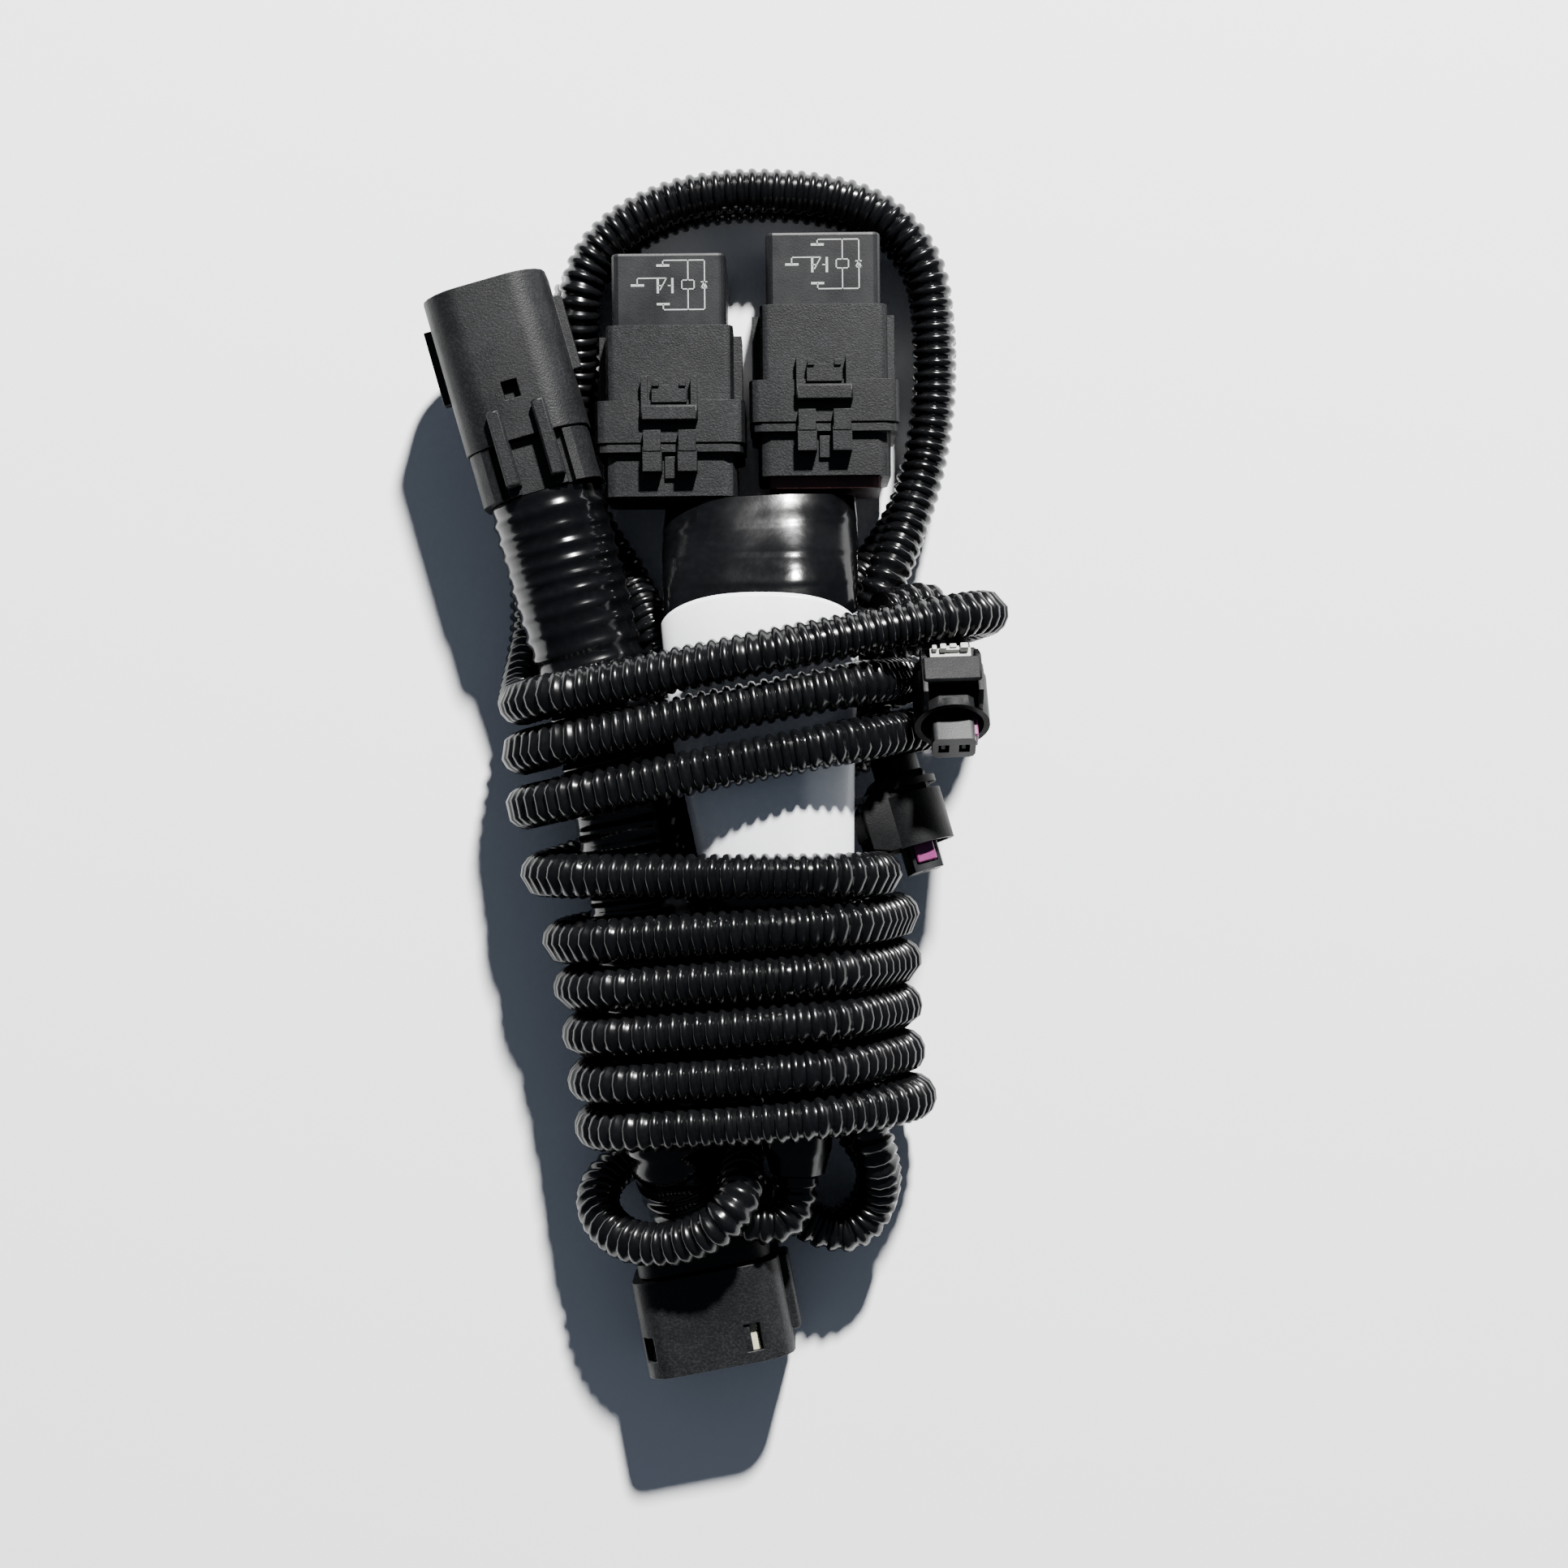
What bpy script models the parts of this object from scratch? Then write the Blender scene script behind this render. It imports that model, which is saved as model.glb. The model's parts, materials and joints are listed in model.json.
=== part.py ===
"""Vehicle wiring harness for a pair of lamps, coiled up for storage.

Two large sealed plugs are joined by a taped trunk. A second taped trunk leaves two relay
sockets, and a split conduit loom is wound nine times round both trunks. The harness lies
on a surface at z = 0, seen from +Z as it lies. Sizes are in millimetres and become metres
where a mesh is made.
"""
import math

import bmesh
import bpy
from mathutils import Matrix, Vector, kdtree
from mathutils.bvhtree import BVHTree

MM = 0.001
GAP = 0.3                      # between pieces that touch

# Split conduit loom
LOOM_DIAMETER = 10.0
FLOOR_GAP = 0.2
LOOM_LOW = LOOM_DIAMETER / 2 + FLOOR_GAP          # centre of a strand on the surface
LOOM_HIGH = LOOM_LOW + LOOM_DIAMETER + 0.5        # centre of a strand on that one
STRAND_GAP = 0.6               # between strands, and from a strand to any other piece
LINE_STEP = 3.0                # spacing of the points that the looms are settled with
WRAP_CLEARANCE = 1.0           # between the windings and what they hold
WRAP_COUNT = 9

# Large sealed inlet plug, male
INLET_WIDTH = 28.7
INLET_HEIGHT = 26.0
INLET_CORNER = 8.5
INLET_LENGTH = 36.5
INLET_WALL = 2.0
INLET_CAVITY = 23.0
INLET_CHAMBER = 8.0
INLET_PIN_ROWS = 2
INLET_PIN_COLUMNS = 6
INLET_PIN_PITCH = 3.6
INLET_PIN_SIDE = 1.2
INLET_PIN_LENGTH = 15.0
INLET_HEADER = 1.5             # plate that the pins stand on
INLET_COVER_LENGTH = 12.0
INLET_COVER_INSET = 0.5
FINGER_WIDTH = 3.2
FINGER_SPACING = 10.4
FINGER_LENGTH = 17.6
FINGER_HEIGHT = 2.2
INLET_REAR = (-55.0, 66.2, 26.0)
INLET_TURN = 16.0              # degrees from +Y towards -X

# Large sealed outlet plug, female
OUTLET_WIDTH = 34.5
OUTLET_HEIGHT = 27.0
OUTLET_CORNER = 6.0
OUTLET_LENGTH = 22.3
OUTLET_WALL = 1.8
OUTLET_CAVITY = 16.5
OUTLET_CHAMBER = 2.8
OUTLET_SEAL_SIDE = 0.65         # from the ring seal to the shell's side walls
OUTLET_SEAL_ABOVE = 1.9        # and to its top and bottom walls
OUTLET_SEAL_THICKNESS = 1.8
OUTLET_HOLE_COLUMNS = 5
OUTLET_HOLE_PITCH = 4.6
OUTLET_HOLE_SIDE = 2.2
OUTLET_HOLE_DEPTH = 8.0
OUTLET_WINDOW_ASIDE = 8.8      # middle of the window in the top wall, from the shell's side
OUTLET_WINDOW_WIDTH = 3.7
OUTLET_WINDOW_LENGTH = 6.2
OUTLET_WINDOW_BACK = 2.7       # from the mouth to the window
OUTLET_NOTCH_ASIDE = 0.65
OUTLET_NOTCH_WIDTH = 2.2
OUTLET_NOTCH_LENGTH = 5.6
OUTLET_NOTCH_BACK = 4.0
OUTLET_RETAINER_WIDTH = 5.6
OUTLET_RETAINER_LENGTH = 8.2
OUTLET_RETAINER_SHIFT = 1.85   # from the window's middle to the retainer's
OUTLET_NECK_LENGTH = 6.0
OUTLET_NECK_WIDTH = 31.0
OUTLET_NECK_HEIGHT = 24.0
OUTLET_REAR = (-19.5, -106.1, OUTLET_HEIGHT / 2)
OUTLET_TURN = 169.3

# Relays and their sockets
RELAY_SIDE = 26.2
RELAY_SEAT = 6.0               # how far the relay's cover goes into the socket
RELAY_SHOWN = 16.8
SOCKET_WALL = 1.2
SOCKET_WIDTH = RELAY_SIDE + 2 * (SOCKET_WALL + GAP)
SOCKET_LENGTH = 17.3
SOCKET_POCKET = 11.5
FLANGE_WIDTH = 34.3
FLANGE_HEIGHT = 31.0
FLANGE_LENGTH = 9.6
CAP_WIDTH = 30.4
CAP_HEIGHT = 27.0
CAP_LENGTH = 9.9
CAP_FLANGE = 1.9
BLADE_WIDTH = 6.3
BLADE_THICKNESS = 0.8
BLADE_LENGTH = 9.0
BLADE_PLATE = 0.9              # frame that ties the blades inside the relay
RELAY_TOP_GAP = 0.3
SOCKET_1_LEFT = -43.05         # left side of its flange
SOCKET_SPACE = 1.0             # between the two sockets' flanges
SOCKET_STEP = 4.8              # how much farther the second one reaches
SOCKET_1_REAR = (SOCKET_1_LEFT + FLANGE_WIDTH / 2, 65.7)
SOCKET_2_REAR = (SOCKET_1_REAR[0] + FLANGE_WIDTH + SOCKET_SPACE, SOCKET_1_REAR[1] + SOCKET_STEP)
SOCKET_TURN = 0.6

# Small two-way lamp plugs
LAMP_BOSS = 11.0
LAMP_BOSS_LENGTH = 6.5
LAMP_COLLAR = 17.0
LAMP_COLLAR_WALL = 1.4
LAMP_COLLAR_FROM = 9.5
LAMP_COLLAR_TO = 21.5
LAMP_CAVITY = 9.0
LAMP_BODY_WIDTH = 13.0
LAMP_ROOF = 12.2               # height of the latch roof above the plug's axis
LAMP_TOWER_WIDTH = 9.7
LAMP_TOWER_HEIGHT = 7.4
LAMP_LENGTH = 27.5
LOCK_WIDTH = 9.4
LOCK_HEIGHT = 2.4
LOCK_LENGTH = 7.8
LOCK_FROM = 7.4
LOCK_TRAVEL = 1.6
LAMP_ROOF_FROM = 10.8
LAMP_1_REAR = (37.0, 31.0, 30.0)
LAMP_1_TURN = 182.0
LAMP_1_PITCH = 33.0
LAMP_2_REAR = (25.2, 6.2, 21.0)
LAMP_2_TURN = 196.0
LAMP_2_PITCH = 6.0
LAMP_2_ROLL = 80.0

# Taped trunk between the large plugs: x, y, z and radius along its centre line
TRUNK_1 = (
    (-54.89, 65.8, 26.0, 13.1), (-53.7, 61.6, 26.0, 13.2), (-49.6, 46.0, 25.0, 13.2),
    (-44.0, 25.5, 23.7, 12.4), (-38.6, 3.0, 23.3, 12.2), (-33.9, -21.4, 23.1, 12.0),
    (-30.2, -47.6, 22.8, 11.6), (-27.0, -73.9, 22.4, 11.3), (-25.2, -86.0, 21.0, 10.8),
    (-23.4, -92.5, 17.9, 10.5), (-21.3, -98.0, 15.2, 10.4), (-20.55, -101.0, 14.0, 10.4),
    (-20.08, -103.3, 13.55, 10.3), (-19.7, -105.3, 13.5, 10.3),
)
TRUNK_1_STEP = 2.6

# Taped trunk behind the relay sockets: y, centre x, centre z, half width and half height
TRUNK_2 = (
    (64.9, -5.5, 17.0, 22.5, 12.5), (57.0, -5.5, 20.8, 23.3, 12.3),
    (48.0, -5.4, 27.2, 23.0, 11.2), (41.0, -5.3, 30.2, 22.7, 10.1),
    (34.0, -5.3, 31.2, 22.3, 9.8), (10.0, -4.6, 31.2, 20.5, 9.8),
    (-18.0, -1.5, 31.1, 17.4, 9.7), (-50.0, 1.0, 30.9, 12.8, 9.4),
    (-75.0, 2.6, 29.8, 9.4, 8.3), (-86.2, 3.0, 28.2, 7.9, 7.4), (-89.0, 3.0, 27.9, 6.2, 5.8),
)
TRUNK_2_SKEW = 0.045           # the end behind the sockets follows their step
TRUNK_2_POWER = 2.5            # roundness of its section

# Label wrapped over the relay trunk
LABEL_FROM = -17.0
LABEL_TO = 36.0
LABEL_BOW = 7.0
LABEL_THICKNESS = 0.25
LABEL_SPREAD = 78.0            # degrees each side of straight up

# Windings: reach of each turn's centre line to the left and right, and its y there
WRAP_LEFT_X = (-60.9, -60.6, -59.6, -56.1, -50.9, -48.6, -46.4, -44.4, -42.6)
WRAP_LEFT_Y = (18.3, 7.1, -5.4, -20.8, -36.2, -47.0, -57.7, -68.5, -79.2)
WRAP_RIGHT_X = (45.1, 0.0, 0.0, 0.0, 26.4, 27.3, 27.3, 28.2, 30.1)
WRAP_RIGHT_Y = (37.5, 25.2, 13.6, -20.5, -29.5, -40.3, -51.0, -61.8, -72.5)
WRAP_LIFT = (4.0, 0.0, 0.0, 0.0, 0.0, 0.0, 0.0, 0.0, 0.0)
LAST_LEFT_Y = -89.9
LEFT_BEND = 17.0
RIGHT_BEND = 14.0

# Long loom before the windings: bottom bend, lane under the relay trunk, low arch, left leg
LOOM_START = (
    (-13.2, -99.3, 7.4), (-8.0, -101.5, 6.0), (-1.0, -105.3, LOOM_LOW), (6.0, -108.6, LOOM_LOW),
    (13.0, -107.2, LOOM_LOW), (19.0, -101.5, LOOM_LOW), (21.9, -94.5, 7.0), (21.6, -89.0, 11.0),
    (19.0, -83.0, 15.2), (14.0, -76.0, LOOM_HIGH), (9.5, -66.0, LOOM_HIGH), (6.0, -50.0, LOOM_HIGH),
    (5.0, -30.0, LOOM_HIGH), (5.0, 0.0, LOOM_HIGH), (5.0, 20.0, LOOM_HIGH), (7.5, 33.0, LOOM_HIGH),
    (13.5, 42.5, 15.4), (21.0, 51.5, 12.6), (27.7, 61.0, 8.3), (32.4, 74.0, 5.6),
    (35.2, 88.0, LOOM_LOW), (35.8, 104.0, LOOM_LOW), (34.6, 117.5, LOOM_LOW), (30.2, 127.0, LOOM_LOW),
    (22.8, 133.6, LOOM_LOW), (10.3, 137.6, LOOM_LOW), (-6.8, 138.6, LOOM_LOW), (-24.9, 136.0, LOOM_LOW),
    (-37.6, 129.0, LOOM_LOW), (-46.5, 119.0, LOOM_LOW), (-53.5, 106.0, LOOM_LOW),
    (-58.8, 94.0, LOOM_LOW), (-60.6, 80.0, LOOM_LOW), (-60.6, 62.0, LOOM_LOW),
    (-60.0, 46.0, LOOM_LOW), (-60.0, 34.0, 6.8), (-61.0, 25.0, 13.0),
)

# Long loom after the windings: lower left loop, lane between the trunks, high arch, lamp plug 2
LOOM_END = (
    (-37.0, -91.2, 5.9), (-42.2, -94.3, 10.0), (-43.4, -98.0, 15.5), (-41.2, -102.0, 21.5),
    (-35.5, -104.8, 27.5), (-27.0, -105.2, 32.0), (-18.0, -102.2, 35.8), (-11.2, -97.4, 38.2),
    (-7.4, -92.2, 36.4), (-7.2, -88.2, 29.0), (-8.4, -84.4, 20.4), (-10.3, -77.0, LOOM_HIGH),
    (-12.3, -65.0, LOOM_HIGH), (-14.1, -50.0, LOOM_HIGH), (-18.2, -20.0, LOOM_HIGH),
    (-23.9, 8.0, LOOM_HIGH), (-27.6, 25.0, LOOM_HIGH), (-30.2, 34.0, 15.3), (-33.9, 43.0, 11.8),
    (-40.0, 53.5, 7.0), (-46.6, 64.0, LOOM_LOW), (-49.3, 76.0, LOOM_LOW), (-49.3, 89.0, 5.9),
    (-47.7, 100.0, 9.8), (-47.2, 110.0, 14.8), (-45.2, 119.0, LOOM_HIGH), (-37.6, 129.0, LOOM_HIGH),
    (-24.9, 136.1, LOOM_HIGH), (-6.8, 138.6, LOOM_HIGH), (10.3, 137.5, LOOM_HIGH),
    (22.6, 133.3, LOOM_HIGH), (29.7, 126.6, LOOM_HIGH), (34.0, 117.1, LOOM_HIGH),
    (35.0, 103.8, LOOM_HIGH), (35.0, 88.6, LOOM_HIGH), (33.0, 75.3, 16.7), (29.2, 62.0, 19.6),
    (25.0, 51.0, 24.4), (21.7, 43.0, 25.8), (19.3, 36.0, 23.0), (17.4, 28.5, 18.6),
    (17.9, 22.0, 17.4), (20.3, 16.7, 18.6), (23.4, 12.0, 20.35), (24.83, 7.5, 20.86),
)

# Looms that leave the trunk beside the outlet plug, and the short lead to lamp plug 1
FEED_LOOM = (
    (-9.6, -99.9, 16.0), (-4.2, -100.9, 15.9), (2.4, -103.6, 15.8), (9.0, -106.0, 15.8),
    (15.5, -105.0, 15.9), (20.4, -98.0, 17.0), (21.6, -91.0, 21.4), (20.3, -84.0, 26.0),
    (18.4, -75.0, 25.0), (16.2, -64.0, 18.8), (15.6, -52.0, 16.0), (15.4, -38.0, LOOM_HIGH),
    (15.0, -28.0, LOOM_HIGH),
)
LINK_LOOM = (
    (-10.6, -98.8, 28.4), (-6.4, -101.4, 28.4), (-1.4, -101.6, 28.2), (1.9, -98.6, 28.0),
    (3.1, -94.6, 28.0), (3.2, -89.7, 28.0),
)
LAMP_LEAD = (
    (17.8, 38.0, 33.6), (24.0, 40.0, 30.6), (30.2, 41.2, 27.4), (35.2, 39.6, 25.6),
    (37.0, 35.5, 27.1), (37.0, 31.8, 29.5),
)

MATERIALS = {
    "grained_black_plastic": ((0.045, 0.047, 0.050, 1), 0.62, 0.0),
    "relay_black_plastic": ((0.040, 0.042, 0.046, 1), 0.50, 0.0),
    "loom_black_plastic": ((0.012, 0.012, 0.013, 1), 0.28, 0.0),
    "black_tape": ((0.016, 0.016, 0.018, 1), 0.42, 0.0),
    "white_label": ((0.80, 0.81, 0.83, 1), 0.45, 0.0),
    "grey_lock_plastic": ((0.42, 0.43, 0.40, 1), 0.50, 0.0),
    "magenta_plastic": ((0.42, 0.02, 0.24, 1), 0.45, 0.0),
    "red_silicone": ((0.16, 0.008, 0.015, 1), 0.55, 0.0),
    "ivory_plastic": ((0.58, 0.56, 0.40, 1), 0.50, 0.0),
    "tinned_brass": ((0.55, 0.50, 0.38, 1), 0.30, 1.0),
}


def clear_scene():
    for item in list(bpy.data.objects):
        bpy.data.objects.remove(item, do_unlink=True)


def new_collection(name):
    collection = bpy.data.collections.new(name)
    bpy.context.scene.collection.children.link(collection)
    return collection


def material(name):
    found = bpy.data.materials.get(name)
    if found:
        return found
    colour, roughness, metallic = MATERIALS[name]
    made = bpy.data.materials.new(name)
    made.use_nodes = True
    shader = made.node_tree.nodes["Principled BSDF"]
    shader.inputs["Base Color"].default_value = colour
    shader.inputs["Roughness"].default_value = roughness
    shader.inputs["Metallic"].default_value = metallic
    return made


def empty_at(name, parent, rear, turn, pitch=0.0, roll=0.0):
    """An empty whose +Y is the way a plug faces and whose +Z is its latch side."""
    holder = bpy.data.objects.new(name, None)
    bpy.context.scene.collection.objects.link(holder)
    holder.parent = parent
    spin = Matrix.Rotation(math.radians(turn), 4, "Z")
    lift = Matrix.Rotation(math.radians(pitch), 4, "X")
    twist = Matrix.Rotation(math.radians(roll), 4, "Y")
    holder.matrix_local = Matrix.Translation(Vector(rear) * MM) @ spin @ lift @ twist
    return holder


def add_object(name, mesh, finish, parent, smooth=None):
    made = bpy.data.objects.new(name, mesh)
    PARTS.objects.link(made)
    made.parent = parent
    if finish:
        mesh.materials.append(material(finish))
    if smooth:
        mesh.shade_smooth()
        mesh.set_sharp_from_angle(angle=math.radians(smooth))
    return made


def as_cutter(piece):
    PARTS.objects.unlink(piece)
    CUTTERS.objects.link(piece)
    piece.hide_render = True
    piece.display_type = "WIRE"
    return piece


def combine(target, tools, operation):
    for tool in tools:
        as_cutter(tool)
        step = target.modifiers.new(operation.title() + " " + tool.name, "BOOLEAN")
        step.operation = operation
        step.object = tool
    return target


def cut(target, *tools):
    return combine(target, tools, "DIFFERENCE")


def join(target, *tools):
    return combine(target, tools, "UNION")


def box_mesh(name, boxes):
    """One mesh of plain boxes, each given by its low and high corner."""
    shape = bmesh.new()
    for low, high in boxes:
        made = bmesh.ops.create_cube(shape, size=1.0)["verts"]
        size = [(b - a) * MM for a, b in zip(low, high)]
        middle = [(a + b) / 2 * MM for a, b in zip(low, high)]
        bmesh.ops.scale(shape, vec=size, verts=made)
        bmesh.ops.translate(shape, vec=middle, verts=made)
    mesh = bpy.data.meshes.new(name)
    shape.to_mesh(mesh)
    shape.free()
    return mesh


def boxes(name, spans, finish, parent, edge=0.0):
    made = add_object(name, box_mesh(name, spans), finish, parent)
    if edge:
        bevel = made.modifiers.new("Edge", "BEVEL")
        bevel.width = edge * MM
        bevel.segments = 1
    return made


def separate_boxes(name, spans, parent, edge=0.0):
    """One object per box, for a Boolean whose boxes run into each other."""
    return [boxes("%s_%d" % (name, i + 1), [span], None, parent, edge)
            for i, span in enumerate(spans)]


def prism(name, width, height, corner, y_from, y_to, finish, parent, steps=3, centre=(0.0, 0.0)):
    """A block along Y with a rounded rectangular section."""
    shape = bmesh.new()
    bmesh.ops.create_cube(shape, size=1.0)
    bmesh.ops.scale(shape, vec=(width * MM, (y_to - y_from) * MM, height * MM), verts=shape.verts)
    middle = (centre[0] * MM, (y_from + y_to) / 2 * MM, centre[1] * MM)
    bmesh.ops.translate(shape, vec=middle, verts=shape.verts)
    if corner:
        along = [e for e in shape.edges if abs(e.verts[0].co.y - e.verts[1].co.y) > 1e-6]
        bmesh.ops.bevel(shape, geom=along, offset=corner * MM, segments=steps, profile=0.5,
                        affect="EDGES")
    mesh = bpy.data.meshes.new(name)
    shape.to_mesh(mesh)
    shape.free()
    return add_object(name, mesh, finish, parent, smooth=35 if corner else None)


def cylinder(name, diameter, y_from, y_to, finish, parent, sides=28, tip=None):
    """A round block along Y; tip is the diameter at its far end."""
    shape = bmesh.new()
    end = diameter if tip is None else tip
    bmesh.ops.create_cone(shape, cap_ends=True, segments=sides, radius1=diameter / 2 * MM,
                          radius2=end / 2 * MM, depth=(y_to - y_from) * MM)
    bmesh.ops.rotate(shape, matrix=Matrix.Rotation(math.radians(-90), 3, "X"), verts=shape.verts)
    bmesh.ops.translate(shape, vec=(0, (y_from + y_to) / 2 * MM, 0), verts=shape.verts)
    mesh = bpy.data.meshes.new(name)
    shape.to_mesh(mesh)
    shape.free()
    return add_object(name, mesh, finish, parent, smooth=40)


def between(stations, key):
    """Values at a place along a table of stations whose first column falls."""
    if key >= stations[0][0]:
        return stations[0][1:]
    for upper, lower in zip(stations, stations[1:]):
        if key >= lower[0]:
            share = (upper[0] - key) / (upper[0] - lower[0])
            return tuple(a + (b - a) * share for a, b in zip(upper[1:], lower[1:]))
    return stations[-1][1:]


def smooth_curve(points, step=1.5):
    """Points of a centripetal Catmull-Rom curve through the given ones."""
    given = [Vector(p) for p in points]
    ends = [given[0] * 2 - given[1]] + given + [given[-1] * 2 - given[-2]]
    result = []
    for a, b, c, d in zip(ends, ends[1:], ends[2:], ends[3:]):
        t1 = max((b - a).length, 1e-6) ** 0.5
        t2 = t1 + max((c - b).length, 1e-6) ** 0.5
        t3 = t2 + max((d - c).length, 1e-6) ** 0.5
        count = max(2, round((c - b).length / step))
        for index in range(count):
            t = t1 + (t2 - t1) * index / count
            p1 = a * ((t1 - t) / t1) + b * (t / t1)
            p2 = b * ((t2 - t) / (t2 - t1)) + c * ((t - t1) / (t2 - t1))
            p3 = c * ((t3 - t) / (t3 - t2)) + d * ((t - t2) / (t3 - t2))
            q1 = p1 * ((t2 - t) / t2) + p2 * (t / t2)
            q2 = p2 * ((t3 - t) / (t3 - t1)) + p3 * ((t - t1) / (t3 - t1))
            result.append(q1 * ((t2 - t) / (t2 - t1)) + q2 * ((t - t1) / (t2 - t1)))
    return result + [given[-1]]


def evenly(points, step):
    """The same line with points a fixed distance apart."""
    lengths = [0.0]
    for a, b in zip(points, points[1:]):
        lengths.append(lengths[-1] + (b - a).length)
    count = max(2, round(lengths[-1] / step))
    result, place = [], 0
    for index in range(count + 1):
        want = lengths[-1] * index / count
        while place < len(points) - 2 and lengths[place + 1] < want:
            place += 1
        span = max(lengths[place + 1] - lengths[place], 1e-9)
        result.append(points[place].lerp(points[place + 1], (want - lengths[place]) / span))
    return result


def relaxed(points, rounds):
    for _ in range(rounds):
        inner = [(a + b * 2 + c) / 4 for a, b, c in zip(points, points[1:], points[2:])]
        points = [points[0]] + inner + [points[-1]]
    return points


def thinned(points, most_step=12.0, most_turn=20.0):
    """Fewer points where the line runs straight."""
    kept = [points[0]]
    for before, here, after in zip(points, points[1:], points[2:]):
        step = (here - kept[-1]).length
        arrive = here - kept[-1]
        leave = after - here
        turn = math.degrees(arrive.angle(leave, 0.0))
        if step >= most_step or turn >= most_turn / 2 and step > 3.0:
            kept.append(here)
    return kept + [points[-1]]


def trunk_1_circle(y):
    x, z, radius = between([(p[1], p[0], p[2], p[3]) for p in TRUNK_1], y)
    return x, z, radius


def lane_at(route, y, low, high):
    """Where a strand of a route crosses a y, searched between two of its points."""
    stations = sorted(((p[1], p[0], p[2]) for p in route[low:high]), reverse=True)
    return between(stations, y)


def wrap_guides(y, turn):
    """Circles that a turn's centre line lies outside of, as x, z and radius."""
    stand_off = LOOM_DIAMETER / 2 + WRAP_CLEARANCE
    x1, z1, r1 = trunk_1_circle(y)
    x2, z2, half_width, half_height = between(TRUNK_2, y)
    spread = half_width - half_height
    guides = [(x1, z1, r1 + stand_off), (x2 - spread, z2, half_height + stand_off),
              (x2 + spread, z2, half_height + stand_off)]
    strands = [lane_at(LOOM_START, y, 6, 17)]
    if y > 8.0:
        strands.append(lane_at(LOOM_END, y, 37, 44))
    if y < -26.0:
        strands.append(lane_at(FEED_LOOM, y, 6, 13))
    guides += [(x, z, LOOM_DIAMETER / 2 + stand_off - 0.4) for x, z in strands]
    share = min(max(turn, 0.0), WRAP_COUNT - 1.0)
    left = between([(-i, x) for i, x in enumerate(WRAP_LEFT_X)], -share)[0]
    guides.append((left + LEFT_BEND, LOOM_LOW + LEFT_BEND, LEFT_BEND))
    nearest = round(share)
    if WRAP_RIGHT_X[nearest]:
        bend = RIGHT_BEND + (3.0 if nearest == 0 else 0.0)
        lift = WRAP_LIFT[nearest]
        guides.append((WRAP_RIGHT_X[nearest] - bend, LOOM_LOW + bend + lift, bend))
    if WRAP_LIFT[nearest]:
        guides.append((x2, z2 + WRAP_LIFT[nearest], half_height + stand_off))
        lead = LAMP_LEAD[2]
        guides.append((lead[0], lead[2], LOOM_DIAMETER / 2 + stand_off))
    return guides


def support_point(guides, angle):
    across, up = math.cos(angle), math.sin(angle)
    x, z, radius = max(guides, key=lambda g: g[0] * across + g[1] * up + g[2])
    return x + radius * across, z + radius * up


def winding():
    """The nine turns, from the left end of the first to the surface under the last."""
    points = []
    steps = 36
    for turn in range(WRAP_COUNT):
        left_y, right_y = WRAP_LEFT_Y[turn], WRAP_RIGHT_Y[turn]
        next_y = WRAP_LEFT_Y[turn + 1] if turn + 1 < WRAP_COUNT else LAST_LEFT_Y
        for half, y_from, y_to in ((0, left_y, right_y), (1, right_y, next_y)):
            section = []
            for index in range(steps):
                share = index / steps
                angle = math.pi * (1 - half) - math.pi * share
                guess = y_from + (y_to - y_from) * (1 - math.cos(math.pi * share)) / 2
                number = turn + (0.0 if half == 0 else share)
                section.append(support_point(wrap_guides(guess, number), angle))
            start, end = section[0][0], section[-1][0]
            for x, z in section:
                share = (x - start) / (end - start)
                points.append(Vector((x, y_from + (y_to - y_from) * min(max(share, 0), 1),
                                      max(z, LOOM_LOW))))
    while points[-1].x < LOOM_END[0][0] + 9.0:
        points.pop()
    return points


def long_loom_line():
    start = smooth_curve(LOOM_START)
    end = smooth_curve(LOOM_END)
    return relaxed(evenly(start + winding() + end, LINE_STEP), 3)


def pieces_tree():
    """Search tree of every piece made so far, in millimetres."""
    bpy.context.view_layer.update()
    graph = bpy.context.evaluated_depsgraph_get()
    places, faces = [], []
    for item in PARTS.objects:
        made = item.evaluated_get(graph)
        mesh = made.to_mesh()
        first = len(places)
        places += [item.matrix_world @ vertex.co / MM for vertex in mesh.vertices]
        faces += [[first + i for i in face.vertices] for face in mesh.polygons]
        made.to_mesh_clear()
    return BVHTree.FromPolygons(places, faces)


def push_from_pieces(tree, place, reach):
    """The move that brings a point of a loom clear of the other pieces and the surface."""
    push = Vector((0, 0, max(0.0, LOOM_LOW - place.z)))
    near, _, _, distance = tree.find_nearest(place, 4 * reach)
    if near is None:
        return push
    _, normal, _, _ = tree.ray_cast(place, Vector((0, 0, 1)))
    if normal and normal.z > 0:
        return push + (near - place).normalized() * min(distance + reach, 2.0)
    if distance < reach:
        push += (place - near).normalized() * (reach - distance)
    return push


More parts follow.
